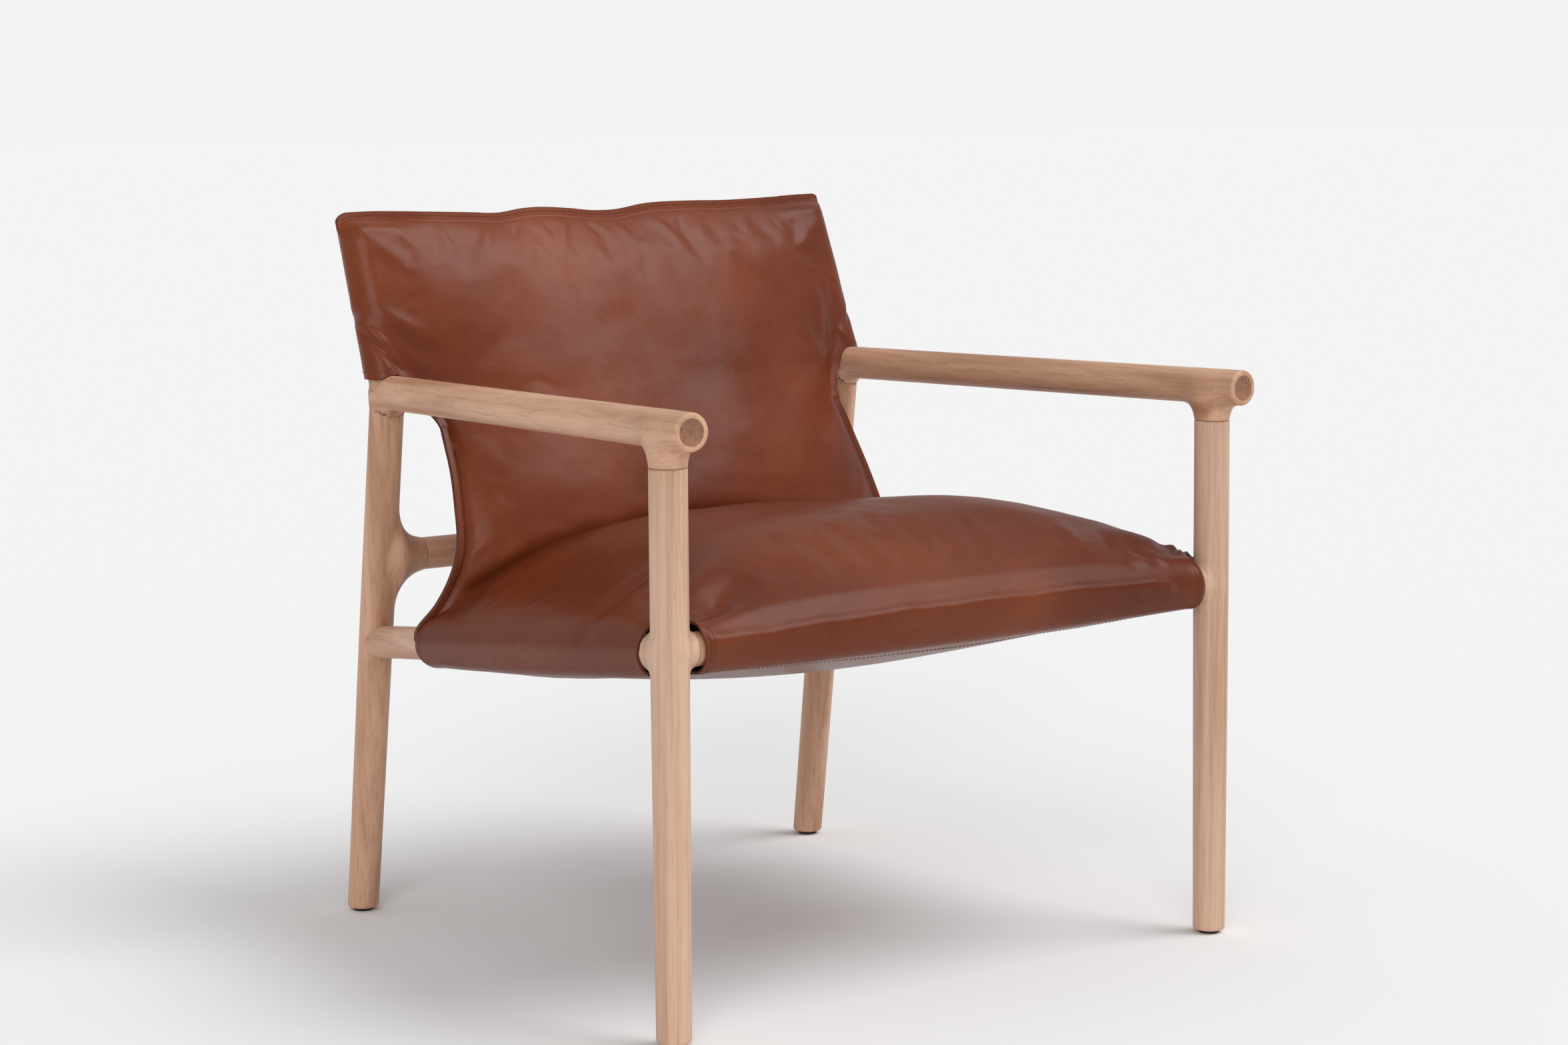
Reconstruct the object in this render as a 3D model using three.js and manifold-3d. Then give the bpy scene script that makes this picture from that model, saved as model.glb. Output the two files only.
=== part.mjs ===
// A lounge chair with a turned timber frame and a padded leather sling.
// Millimetres, +Z up. The sitter faces -Y. The chair stands on its four glides at z = 0.
// Everything is first laid out with y = 0 at the axes of the front legs, and centred at the end.
import * as THREE from "three";
import { mergeVertices } from "three/addons/utils/BufferGeometryUtils.js";
import Module from "manifold-3d";

const wasm = await Module();
wasm.setup();

// Driving sizes of the frame
const LEG_R = 18;
const FOOT_R = 16.5;
const ARM_R = 18;
const SIDE_RAIL_R = 17;
const FRONT_RAIL_R = 16;
const CROSS_RAIL_R = 17;
const POST_R = 17;
const POST_TIP_R = 16;
const FRONT_HALF = 339.25; // from the middle to a front leg's axis
const REAR_HALF = 300.5; // from the middle to a rear leg's axis
const POST_TOP_HALF = 295; // from the middle to a back post's top
const REAR_FOOT_Y = 636.6;
const HEAD_Y = 563; // where a rear leg bends into its back post
const HEAD_Z = 563;
const NECK_Z = 534; // the joint between a front leg and its arm
const ARM_FRONT_Z = 569;
const ARM_NOSE = 42.4; // the arm's reach in front of the front leg's axis
const SIDE_RAIL_FRONT_Z = 366;
const SIDE_RAIL_REAR_Z = 296;
const CROSS_RAIL_Z = 387;
const POST_TOP_Y = 631;
const POST_RISE = 174; // from the bend to a back post's top
const POST_TOP_Z = HEAD_Z + POST_RISE;

// Joinery
const GAP = 0.3; // clearance between pieces that touch
const OVERRUN = 4; // how far a cut runs past what it cuts
const TENON_R = 8;
const TENON_LENGTH = 14;
const FRONT_TENON_R = 9;
const FRONT_TENON_LENGTH = 22;
const CROSS_TENON_R = 9;
const CROSS_TENON_LENGTH = 24;
const POST_TENON_R = 9;
const POST_TENON_LENGTH = 12;
const HEAD_LENGTH = 24; // of the rear leg past its bend
const EDGE = 2.5; // eased edge on a turned end
const SIDE_BOSS_R = 19;
const SIDE_BOSS_REACH = 24;
const SIDE_BOSS_FLARE = 9;
const FRONT_BOSS_R = 16;
const FRONT_BOSS_REACH = 24;
const FRONT_BOSS_FLARE = 3;
const CROSS_BOSS_REACH = 50;
const CROSS_BOSS_FLARE = 30;
const HEAD_FLARE = 12; // under the arm where it meets the rear leg
const HEAD_FLARE_REACH = 32;
const NECK_FLARE_REAR = 21;
const NECK_FLARE_FRONT = 9;
const TAPER_FROM_Z = 320; // below this height the legs taper
const TUCK_SHARE = 0.985; // of a member's radius, for what blends into it from inside

// The dished front end of an arm
const DISH_R = 12.5;
const DISH_DEPTH = 3.6;
const RIM_R = 15.5;

// Glides
const GLIDE_R = 11;
const GLIDE_HEIGHT = 3;
const GLIDE_STEM_R = 2.5;
const GLIDE_STEM_LENGTH = 14;

// Leather
const HIDE = 2.6; // thickness
const SNUG = 0.8; // between the hide and the timber that it bears on
const SLACK = 2.6; // more under a rail, where the hide hangs off it
const SEAT_END_Y = 468; // rear end of the side sleeves
const SEAT_CROWN = 91; // of the seat over its rails
const SEAT_SAG = 37; // of the underside below its rails
const SEAT_FRONT_SHARE = 0.3; // of the crown, over the front rail
const SEAT_RISE_SHARE = 0.3; // of the depth, where the crown is full
const SEAT_FALL_START_SHARE = 0.8;
const SEAT_FALL_SHARE = 0.07; // of the crown, lost at the crease
const SEAT_CROWN_POWER = 3.3;
const SEAT_FRONT_EDGE_POWER = 0.87;
const SEAT_REAR_EDGE_POWER = 1.6;
const SEAT_SAG_FRONT_SHARE = 0.05; // where the front and rear lie on a half wave of sag
const SEAT_SAG_REAR_SHARE = 0.91;
const NOTCH_R = 27; // leather cut away round a front leg
const UNDER_PANEL_INSET = 24; // of the underside's seam from a rail's axis
const SEAM = 0.5; // gap at a seam between two hides

// The back
const BACK_OVER_POSTS = 8;
const BACK_TOP_Z = POST_TOP_Z + BACK_OVER_POSTS;
const BACK_BELOW_RAILS = 12;
const BACK_FOOT_Z = SIDE_RAIL_REAR_Z - BACK_BELOW_RAILS;
const SLEEVE_HEM_Z = HEAD_Z + HEAD_LENGTH;
const SLEEVE_R = 21.5;
const BACK_FULLNESS = 45; // of the front over its edges
const BACK_REAR_FULLNESS = 15;
const BACK_HALF_THICKNESS = 11; // of the back at its edges
const BACK_THINNING = 55; // height below the top over which the back thins out to its hem
const BACK_THINS_FROM_Z = BACK_TOP_Z - BACK_THINNING;
const BACK_HEM = 12; // height of the flat strip over the pad, along the top
const HEM_FORWARD = 16; // of the hem's front from the plane of the posts
const HEM_BOW = 8; // more than that in the middle
const WAIST_BLEND = 60; // height over which the fullness widens from the waist to the sleeves
const BACK_POWER = 2.6;
const BACK_EDGE_POWER = 0.8;
const BACK_SWELL_TOP_SHARE = 0.08; // where the hem and the foot lie on a half wave of fullness
const BACK_SWELL_FOOT_SHARE = 0.97;
const BACK_SWELL_POWER = 0.7;
const CUT_CLEARANCE = 5; // from an arm or a rear leg to the hide cut round it
const ARM_CUT_REACH = 120;
const HEAD_CUT_REACH = 90;
const PAD_EDGE_INSET = 3; // of the seat's pad from a side rail's axis
const PAD_INSET = 1.2; // between a pad and its hide
// The back's edge at the waist, from where the rear leg bends: how far over it, how far in from it
// and how far in front of it
const WAIST = [
  { over: 43, within: 32, before: 3 },
  { over: 24, within: 31, before: 10 },
  { over: 0, within: 35, before: 20 },
  { over: -23, within: 37, before: 33 },
  { over: -63, within: 37, before: 58 },
  { over: -113, within: 31, before: 82 },
  { over: -163, within: 21, before: 97 },
  { over: -213, within: 9, before: 95 },
  { over: -257, within: 28, before: 89 },
  { over: -279, within: 33, before: 88 },
].map((row) => ({
  z: HEAD_Z + row.over,
  half: REAR_HALF - row.within,
  y: HEAD_Y - row.before,
}));

// Steps round and along the curved surfaces
const ROUND = 20;
const NECK_STEPS = 4;
const KNUCKLE_STEPS = 8;
const DISH_STEPS = 4;
const ROUND_END_STEPS = 4;
const SEAT_ACROSS = 12;
const SEAT_ALONG = 9;
const SEAT_STEP_POWER = 1.3;
const BACK_ACROSS = 10;
const BACK_ALONG = 7;

const timber = new THREE.MeshStandardMaterial({
  color: 0xc49a76,
  roughness: 0.5,
});
const hide = new THREE.MeshStandardMaterial({
  color: 0x7b4230,
  roughness: 0.42,
});
const foam = new THREE.MeshStandardMaterial({
  color: 0xe6dfcf,
  roughness: 0.95,
});
const nylon = new THREE.MeshStandardMaterial({
  color: 0x1c1a19,
  roughness: 0.6,
});

const v3 = (x, y, z) => new THREE.Vector3(x, y, z);

// A closed mesh's positions and triangles as a solid, turned the right way out
function solidOf(positions, triangles) {
  const geometry = new THREE.BufferGeometry();
  geometry.setAttribute(
    "position",
    new THREE.Float32BufferAttribute(positions, 3),
  );
  geometry.setIndex(triangles);
  const merged = mergeVertices(geometry, 1e-3);
  const index = Array.from(merged.index.array);
  const kept = [];
  for (let i = 0; i < index.length; i += 3) {
    const [a, b, c] = index.slice(i, i + 3);
    if (a !== b && b !== c && a !== c) kept.push(a, b, c);
  }
  const p = merged.attributes.position.array;
  let volume = 0;
  for (let i = 0; i < kept.length; i += 3) {
    const [a, b, c] = [kept[i], kept[i + 1], kept[i + 2]].map((k) =>
      v3(p[3 * k], p[3 * k + 1], p[3 * k + 2]),
    );
    volume += a.dot(b.cross(c));
  }
  if (volume < 0) kept.reverse();
  return new wasm.Manifold(
    new wasm.Mesh({
      numProp: 3,
      vertProperties: new Float32Array(p),
      triVerts: new Uint32Array(kept),
    }),
  );
}

// Rings of points joined into a closed body. Each ring has the same even number of points,
// and its point k lies over or under its point count - k, so that strips close the ends.
function loft(rings) {
  const count = rings[0].length;
  const positions = rings.flat().flatMap((p) => [p.x, p.y, p.z]);
  const triangles = [];
  for (let r = 0; r + 1 < rings.length; r++) {
    for (let k = 0; k < count; k++) {
      const a = r * count + k;
      const b = r * count + ((k + 1) % count);
      triangles.push(a, b, a + count, b, b + count, a + count);
    }
  }
  for (const ring of [0, rings.length - 1]) {
    for (let k = 0; k < count / 2; k++) {
      const corners = [k, k + 1, count - k - 1, (count - k) % count];
      const [a, b, c, d] = corners.map((corner) => ring * count + corner);
      triangles.push(...(ring ? [a, b, c, a, c, d] : [c, b, a, d, c, a]));
    }
  }
  return solidOf(positions, triangles);
}

// A turned body along from-to. Each profile entry is a radius and a distance from the start.
function turned(from, to, profile) {
  const points = profile.map((p) => new THREE.Vector2(p.r, p.at));
  const geometry = new THREE.LatheGeometry(points, ROUND);
  const way = to.clone().sub(from).normalize();
  geometry.applyQuaternion(
    new THREE.Quaternion().setFromUnitVectors(v3(0, 1, 0), way),
  );
  geometry.translate(from.x, from.y, from.z);
  return solidOf(
    Array.from(geometry.attributes.position.array),
    Array.from(geometry.index.array),
  );
}

// A plain round rod, with its edges eased if asked
function rod(from, to, startR, endR = startR, startEdge = 0, endEdge = 0) {
  const length = from.distanceTo(to);
  return turned(from, to, [
    { r: 0, at: 0 },
    { r: startR - startEdge, at: 0 },
    { r: startR, at: startEdge },
    { r: endR, at: length - endEdge },
    { r: endR - endEdge, at: length },
    { r: 0, at: length },
  ]);
}

// A neck of oval sections along way: it starts flared on its base and ends round.
// up is the direction of the flare, with one reach for each side of it.
function neck(base, way, reach, up, flareUp, flareDown, baseR, endR) {
  const side = way.clone().cross(up).normalize();
  const rings = [];
  for (let i = 0; i <= NECK_STEPS; i++) {
    const t = i / NECK_STEPS;
    const flare = 1 - Math.sqrt(1 - (1 - t) ** 2);
    const r = baseR + (endR - baseR) * t;
    const middle = base.clone().addScaledVector(way, reach * t);
    rings.push(
      Array.from({ length: ROUND }, (_, k) => {
        const a = (2 * Math.PI * k) / ROUND;
        const high = Math.sin(a);
        const more = high > 0 ? flareUp : flareDown;
        return middle
          .clone()
          .addScaledVector(side, r * Math.cos(a))
          .addScaledVector(up, (r + more * flare) * high);
      }),
    );
  }
  return loft(rings);
}

// A solid as a mesh whose own origin is at the given place
function piece(name, solid, material, origin = v3(0, 0, 0)) {
  const { vertProperties, triVerts, numProp, numVert } = solid.getMesh();
  const positions = new Float32Array(numVert * 3);
  for (let i = 0; i < numVert; i++) {
    positions[3 * i] = vertProperties[numProp * i] - origin.x;
    positions[3 * i + 1] = vertProperties[numProp * i + 1] - origin.y;
    positions[3 * i + 2] = vertProperties[numProp * i + 2] - origin.z;
  }
  const geometry = new THREE.BufferGeometry();
  geometry.setAttribute("position", new THREE.BufferAttribute(positions, 3));
  geometry.setIndex(new THREE.BufferAttribute(triVerts, 1));
  geometry.computeVertexNormals();
  const mesh = new THREE.Mesh(geometry, material);
  mesh.name = name;
  mesh.position.copy(origin);
  return mesh;
}

const mix = (a, b, t) => a + (b - a) * t;
const smooth = (t) => {
  const c = Math.min(1, Math.max(0, t));
  return c * c * (3 - 2 * c);
};

// Lines of the frame, for the side with x above 0
const rearLegY = (z) => mix(REAR_FOOT_Y, HEAD_Y, z / HEAD_Z);
const frontAxis = (z) => v3(FRONT_HALF, 0, z);
const rearAxis = (z) => v3(REAR_HALF, rearLegY(z), z);
const head = v3(REAR_HALF, HEAD_Y, HEAD_Z);
const postTop = v3(POST_TOP_HALF, POST_TOP_Y, POST_TOP_Z);
const postWay = postTop.clone().sub(head).normalize();
const legWay = head.clone().sub(rearAxis(0)).normalize();
const railFront = frontAxis(SIDE_RAIL_FRONT_Z);
const railRear = rearAxis(SIDE_RAIL_REAR_Z);
const railWay = railRear.clone().sub(railFront).normalize();
const armOverLeg = frontAxis(ARM_FRONT_Z);
const armWay = head.clone().sub(armOverLeg).normalize();
const armNose = armOverLeg.clone().addScaledVector(armWay, -ARM_NOSE);
const crossEnd = rearAxis(CROSS_RAIL_Z);
const inward = v3(-1, 0, 0);
const up = v3(0, 0, 1);

const along = (from, way, distance) =>
  from.clone().addScaledVector(way, distance);
const upFrom = (way) => {
  const across = way.clone().cross(up).normalize();
  return across.cross(way).normalize();
};

// The hole that a tenon needs
const mortise = (from, way, reach, r, length) =>
  rod(
    along(from, way, reach + OVERRUN),
    along(from, way, reach - length - GAP),
    r + GAP,
  );

const GLIDE_TOP = GLIDE_HEIGHT + GAP;
const stemHole = (x, y) =>
  rod(
    v3(x, y, GLIDE_TOP - OVERRUN),
    v3(x, y, GLIDE_TOP + GLIDE_STEM_LENGTH),
    GLIDE_STEM_R + GAP,
  );

// A level circle round a point
const level = (centre, r) =>
  Array.from({ length: ROUND }, (_, k) => {
    const a = (2 * Math.PI * k) / ROUND;
    return v3(centre.x + r * Math.cos(a), centre.y + r * Math.sin(a), centre.z);
  });

// A leg's shaft, flat on its glide whatever its rake
function shaft(axisAt, topZ) {
  return loft([
    level(axisAt(GLIDE_TOP), FOOT_R - EDGE),
    level(axisAt(GLIDE_TOP + EDGE), FOOT_R),
    level(axisAt(TAPER_FROM_Z), LEG_R),
    level(axisAt(topZ), LEG_R),
  ]);
}

function frontLeg() {
  const body = shaft(frontAxis, NECK_Z);
  const sideBoss = neck(
    railFront,
    railWay,
    SIDE_BOSS_REACH,
    upFrom(railWay),
    SIDE_BOSS_FLARE,
    SIDE_BOSS_FLARE,
    LEG_R,
    SIDE_BOSS_R,
  );
  const frontBoss = neck(
    railFront,
    inward,
    FRONT_BOSS_REACH,
    up,
    FRONT_BOSS_FLARE,
    FRONT_BOSS_FLARE,
    FRONT_BOSS_R,
    FRONT_BOSS_R,
  );
  const tenon = rod(
    frontAxis(NECK_Z - OVERRUN),
    frontAxis(NECK_Z + FRONT_TENON_LENGTH),
    FRONT_TENON_R,
  );
  return body
    .add(sideBoss)
    .add(frontBoss)
    .add(tenon)
    .subtract(
      mortise(railFront, railWay, SIDE_BOSS_REACH, TENON_R, TENON_LENGTH),
    )
    .subtract(
      mortise(railFront, inward, FRONT_BOSS_REACH, TENON_R, TENON_LENGTH),
    )
    .subtract(stemHole(FRONT_HALF, 0));
}

// The rear leg runs up past the arm and bends back into a short head that takes the back post
function rearLeg() {
  const body = shaft(rearAxis, HEAD_Z);
  const knuckle = turned(
    along(head, postWay, -LEG_R),
    along(head, postWay, LEG_R),
    Array.from({ length: KNUCKLE_STEPS + 1 }, (_, i) => ({
      r: i % KNUCKLE_STEPS ? LEG_R * Math.sin((Math.PI * i) / KNUCKLE_STEPS) : 0,
      at: LEG_R * (1 - Math.cos((Math.PI * i) / KNUCKLE_STEPS)),
    })),
  );
  const headStub = rod(head, along(head, postWay, HEAD_LENGTH), LEG_R, POST_R);
  const crossBoss = neck(
    crossEnd,
    inward,
    CROSS_BOSS_REACH,
    legWay,
    CROSS_BOSS_FLARE,
    CROSS_BOSS_FLARE,
    CROSS_RAIL_R,
    CROSS_RAIL_R,
  );
  const postHole = mortise(
    head,
    postWay,
    HEAD_LENGTH,
    POST_TENON_R,
    POST_TENON_LENGTH,
  );
  const armHole = mortise(
    head,
    armWay.clone().negate(),
    LEG_R,
    TENON_R,
    TENON_LENGTH,
  );
  const railHole = mortise(
    railRear,
    railWay.clone().negate(),
    LEG_R,
    TENON_R,
    TENON_LENGTH,
  );
  const crossHole = mortise(
    crossEnd,
    inward,
    CROSS_BOSS_REACH,
    CROSS_TENON_R,
    CROSS_TENON_LENGTH,
  );
  return body
    .add(knuckle)
    .add(headStub)
    .add(crossBoss)
    .subtract(postHole)
    .subtract(armHole)
    .subtract(railHole)
    .subtract(crossHole)
    .subtract(stemHole(REAR_HALF, rearLegY(GLIDE_TOP)));
}

// Room for a rear leg, with the clearance that a piece coped on it keeps
const rearLegRoom = () =>
  rod(rearAxis(0), along(head, legWay, OVERRUN), LEG_R + GAP).add(
    rod(
      along(head, postWay, -OVERRUN),
      along(head, postWay, HEAD_LENGTH + LEG_R),
      LEG_R + GAP,
    ),
  );

function arm() {
  const length = armNose.distanceTo(head);
  const dish = Array.from({ length: DISH_STEPS + 1 }, (_, i) => ({
    r: (DISH_R * i) / DISH_STEPS,
    at: DISH_DEPTH * (1 - (i / DISH_STEPS) ** 2),
  }));
  const body = turned(armNose, head, [
    ...dish,
    { r: RIM_R, at: 0 },
    { r: ARM_R - EDGE / 3, at: EDGE / 2 },
    { r: ARM_R, at: EDGE * 1.5 },
    { r: ARM_R, at: length },
    { r: 0, at: length },
  ]);
  const frontNeck = neck(
    armOverLeg,
    up.clone().negate(),
    ARM_FRONT_Z - NECK_Z - GAP,
    armWay,
    NECK_FLARE_REAR,
    NECK_FLARE_FRONT,
    ARM_R * TUCK_SHARE,
    LEG_R,
  );
  const rearNeck = neck(
    head,
    armWay.clone().negate(),
    HEAD_FLARE_REACH,
    upFrom(armWay),
    0,
    HEAD_FLARE,
    ARM_R * TUCK_SHARE,
    ARM_R * TUCK_SHARE,
  );
  const tenon = rod(
    along(head, armWay, -LEG_R - OVERRUN),
    along(head, armWay, TENON_LENGTH - LEG_R),
    TENON_R,
  );
  const tenonHole = rod(
    frontAxis(NECK_Z - OVERRUN),
    frontAxis(NECK_Z + FRONT_TENON_LENGTH + GAP),
    FRONT_TENON_R + GAP,
  );
  return body
    .add(frontNeck)
    .add(rearNeck)
    .subtract(rearLegRoom())
    .add(tenon)
    .subtract(tenonHole);
}

function sideRail() {
  const start = along(railFront, railWay, SIDE_BOSS_REACH + GAP);
  const frontTenon = rod(
    along(start, railWay, -TENON_LENGTH),
    along(start, railWay, OVERRUN),
    TENON_R,
  );
  const rearTenon = rod(
    along(railRear, railWay, -LEG_R - OVERRUN),
    along(railRear, railWay, TENON_LENGTH - LEG_R),
    TENON_R,
  );
  return rod(start, railRear, SIDE_RAIL_R)
    .subtract(rearLegRoom())
    .add(frontTenon)
    .add(rearTenon);
}

// A rod between the two sides, with a tenon at each end
function crossRod(end, bossReach, r, tenonR, tenonLength) {
  const right = along(end, inward, bossReach + GAP);
  const left = v3(-right.x, right.y, right.z);
  const rightTip = along(right, inward, -tenonLength);
  const leftTip = v3(-rightTip.x, rightTip.y, rightTip.z);
  return rod(left, right, r).add(rod(leftTip, rightTip, tenonR));
}

function backPost() {
  const start = along(head, postWay, HEAD_LENGTH + GAP);
  const body = rod(start, postTop, POST_R, POST_TIP_R, 0, EDGE * 2);
  const tenon = rod(
    along(start, postWay, -POST_TENON_LENGTH),
    along(start, postWay, OVERRUN),
    POST_TENON_R,
  );
  return body.add(tenon);
}

function glide(x, y) {
  const disc = rod(v3(x, y, 0), v3(x, y, GLIDE_HEIGHT), GLIDE_R - 1, GLIDE_R);
  const stem = rod(
    v3(x, y, GLIDE_HEIGHT / 2),
    v3(x, y, GLIDE_HEIGHT + GLIDE_STEM_LENGTH - GAP),
    GLIDE_STEM_R,
  );
  return disc.add(stem);
}

// The seat. At each place along y its skin is a top and an underside over x.
const railHalf = (y) => mix(FRONT_HALF, railRear.x, y / railRear.y);
const railZ = (y) => mix(SIDE_RAIL_FRONT_Z, SIDE_RAIL_REAR_Z, y / railRear.y);
const SLEEVE_OVER = SIDE_RAIL_R + SNUG + HIDE; // from a side rail's axis to the outside of the hide
const NOSE_OVER = FRONT_RAIL_R + SNUG + HIDE;

function seatFullness(s, y) {
  const t = y / SEAT_END_Y;
  const rise = Math.sin((Math.min(1, Math.max(0, t) / SEAT_RISE_SHARE) * Math.PI) / 2);
  const front = SEAT_FRONT_SHARE + (1 - SEAT_FRONT_SHARE) * rise;
  const fall = smooth((t - SEAT_FALL_START_SHARE) / (1 - SEAT_FALL_START_SHARE));
  const rearward = Math.min(1, Math.max(0, t));
  const power = mix(SEAT_FRONT_EDGE_POWER, SEAT_REAR_EDGE_POWER, rearward);
  const over = Math.max(0, 1 - Math.abs(s) ** SEAT_CROWN_POWER) ** power;
  return SEAT_CROWN * over * front * (1 - SEAT_FALL_SHARE * fall);
}

function seatSag(s, y) {
  const t = Math.min(1, Math.max(0, y) / SEAT_END_Y);
  const span = Math.max(0, 1 - s * s);
  return SEAT_SAG * span * Math.sin(Math.PI * mix(SEAT_SAG_FRONT_SHARE, SEAT_SAG_REAR_SHARE, t));
}

// Places across a section whose ends are quarter rounds of radius r past plus and minus half,
// from its far end on the left to its far end on the right
function placesAcross(half, r, middleSteps) {
  const places = [];
  for (let i = 0; i < ROUND_END_STEPS; i++) {
    places.push(half + r * Math.cos((Math.PI * i) / (2 * ROUND_END_STEPS)));
  }
  for (let i = 0; i < middleSteps / 2; i++) {
    places.push(half * Math.cos((Math.PI * i) / middleSteps));
  }
  return [...places, 0, ...places.reverse().map((x) => -x)];
}

// The seat's outer surface, or one that lies inset below it
function seatSkin(inset, endY) {
  const noseR = NOSE_OVER - inset;
  const places = [];
  for (let j = 0; j < ROUND_END_STEPS; j++) {
    places.push(-noseR * Math.cos((Math.PI * j) / (2 * ROUND_END_STEPS)));
  }
  for (let j = 0; j <= SEAT_ALONG; j++) {
    places.push(endY * (j / SEAT_ALONG) ** SEAT_STEP_POWER);
  }
  const rings = places.map((y) => {
    const nose = y < 0 ? Math.sqrt(Math.max(0, 1 - (y / noseR) ** 2)) : 1;
    const z = railZ(y);
    const sideR = SLEEVE_OVER - inset;
    const overRail = mix(NOSE_OVER, SLEEVE_OVER, smooth(y / SLEEVE_OVER)) - inset;
    const half = railHalf(y) + SLEEVE_OVER;
    const xs = placesAcross(railHalf(y), sideR, SEAT_ACROSS);
    const round = (x) => {
      const past = Math.max(0, Math.abs(x) - railHalf(y));
      return Math.sqrt(Math.max(0, 1 - (past / sideR) ** 2));
    };
    const over = xs.map((x) => {
      const rise = overRail * round(x) + nose * seatFullness(x / half, y);
      return v3(x, y, z + nose * rise);
    });
    const under = xs.slice(1, -1).map((x) => {
      const drop = (overRail + SLACK) * round(x) + seatSag(x / half, y);
      return v3(x, y, z - nose * drop);
    });
    over[0].z = z;
    over[over.length - 1].z = z;
    return [...over, ...under.reverse()];
  });
  return loft(rings);
}

// The back. Each height has a front and a rear over x, and its edges lie on the waist's table.
function waistAt(z) {
  const above = WAIST.findIndex((row) => row.z <= z);
  if (above === 0) return WAIST[0];
  if (above < 0) return WAIST[WAIST.length - 1];
  const [a, b] = [WAIST[above], WAIST[above - 1]];
  const t = (z - a.z) / (b.z - a.z);
  return { half: mix(a.half, b.half, t), y: mix(a.y, b.y, t) };
}

const postAt = (z) => {
  const t = (z - HEAD_Z) / (POST_TOP_Z - HEAD_Z);
  return { half: mix(REAR_HALF, POST_TOP_HALF, t), y: mix(HEAD_Y, POST_TOP_Y, t) };
};

const HEM_Z = BACK_TOP_Z - BACK_HEM;
const HEM_THICKNESS = 2 * (HIDE + PAD_INSET + SNUG);
const WAIST_TOP_Z = SLEEVE_HEM_Z + LEG_R;

// How full the back is at a height, as a share
function backSwell(z) {
  const t = Math.min(1, Math.max(0, (HEM_Z - z) / (HEM_Z - BACK_FOOT_Z)));
  const wave = mix(BACK_SWELL_TOP_SHARE, BACK_SWELL_FOOT_SHARE, t);
  return Math.sin(Math.PI * wave) ** BACK_SWELL_POWER;
}

// A level ring of the back. A tube runs at each side. Between them the front swells, and the
// rear stays flatter, or where the back is thin lies close behind the front.
function backRing(z, tube, inset) {
  const r = tube.r - inset;
  const swell = backSwell(z);
  const xs = placesAcross(tube.half, r, BACK_ACROSS);
  const round = (x, radius) => {
    const across = Math.max(0, Math.abs(x) - tube.half);
    const inside = Math.max(0, tube.half - Math.abs(x));
    const off = Math.max(across, inside);
    return Math.sqrt(Math.max(0, radius ** 2 - off ** 2)) * tube.stretch;
  };
  const over = (x) => Math.max(0, 1 - Math.abs(x / tube.full) ** BACK_POWER) ** BACK_EDGE_POWER;
  const thinning = (x) => tube.thin * smooth((tube.half - SLEEVE_R - Math.abs(x)) / SLEEVE_R);
  const frontOf = (x, inner) => {
    if (Math.abs(x) > tube.half) return round(x, tube.r - inner);
    const full = tube.front + BACK_FULLNESS * over(x) * swell;
    const flat = mix(full, HEM_FORWARD + HEM_BOW * over(x), thinning(x)) - inner;
    return Math.max(round(x, tube.r - inner), flat);
  };
  const rearOf = (x) => {
    if (Math.abs(x) > tube.half) return round(x, r);
    const flat = Math.max(round(x, r), tube.rear - inset + BACK_REAR_FULLNESS * over(x) * swell);
    const close = HEM_THICKNESS - frontOf(x, 0) - inset;
    return mix(flat, close, thinning(x));
  };
  const rear = xs.map((x) => v3(x, tube.y + rearOf(x), z));
  const front = xs.slice(1, -1).map((x) => v3(x, tube.y - frontOf(x, inset), z));
  return [...rear, ...front.reverse()];
}

// Heights from low to high that every layer of the back shares, with the layer's own two ends
function levels(low, high, bottomZ, topZ) {
  const between = Array.from({ length: BACK_ALONG + 1 }, (_, j) => mix(low, high, j / BACK_ALONG));
  const within = between.filter((z) => z > bottomZ + SEAM && z < topZ - SEAM);
  return [bottomZ, ...within, topZ];
}

// The part of the back over the arms, between two heights
function backUpper(inset, bottomZ, topZ = BACK_TOP_Z - inset) {
  const rings = [];
  for (const z of levels(SLEEVE_HEM_Z, HEM_Z, bottomZ, topZ)) {
    const post = postAt(z);
    const widening = smooth((z - SLEEVE_HEM_Z) / WAIST_BLEND);
    const tube = {
      half: post.half,
      y: post.y,
      r: SLEEVE_R,
      full: mix(waistAt(z).half, post.half + SLEEVE_R, widening),
      stretch: 1 / postWay.z,
      front: SLEEVE_R,
      rear: BACK_HALF_THICKNESS,
      thin: smooth((z - BACK_THINS_FROM_Z) / (HEM_Z - BACK_THINS_FROM_Z)),
    };
    rings.push(backRing(z, tube, inset));
  }
  return loft(rings);
}

// The part of the back at the waist and down to the seat, up to a given height
function backLower(inset, topZ) {
  const rings = [];
  for (const z of levels(BACK_FOOT_Z, WAIST_TOP_Z, BACK_FOOT_Z + inset, topZ)) {
    const edge = waistAt(z);
    const tube = {
      half: edge.half - BACK_HALF_THICKNESS,
      y: edge.y + BACK_HALF_THICKNESS,
      r: BACK_HALF_THICKNESS,
      full: edge.half,
      stretch: 1,
      front: BACK_HALF_THICKNESS,
      rear: BACK_HALF_THICKNESS,
      thin: 0,
    };
    rings.push(backRing(z, tube, inset));
  }
  return loft(rings);
}

// Both parts of the back in one
const back = (inset, topZ) =>
  backUpper(inset, SLEEVE_HEM_Z, topZ).add(backLower(inset, WAIST_TOP_Z));

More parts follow.
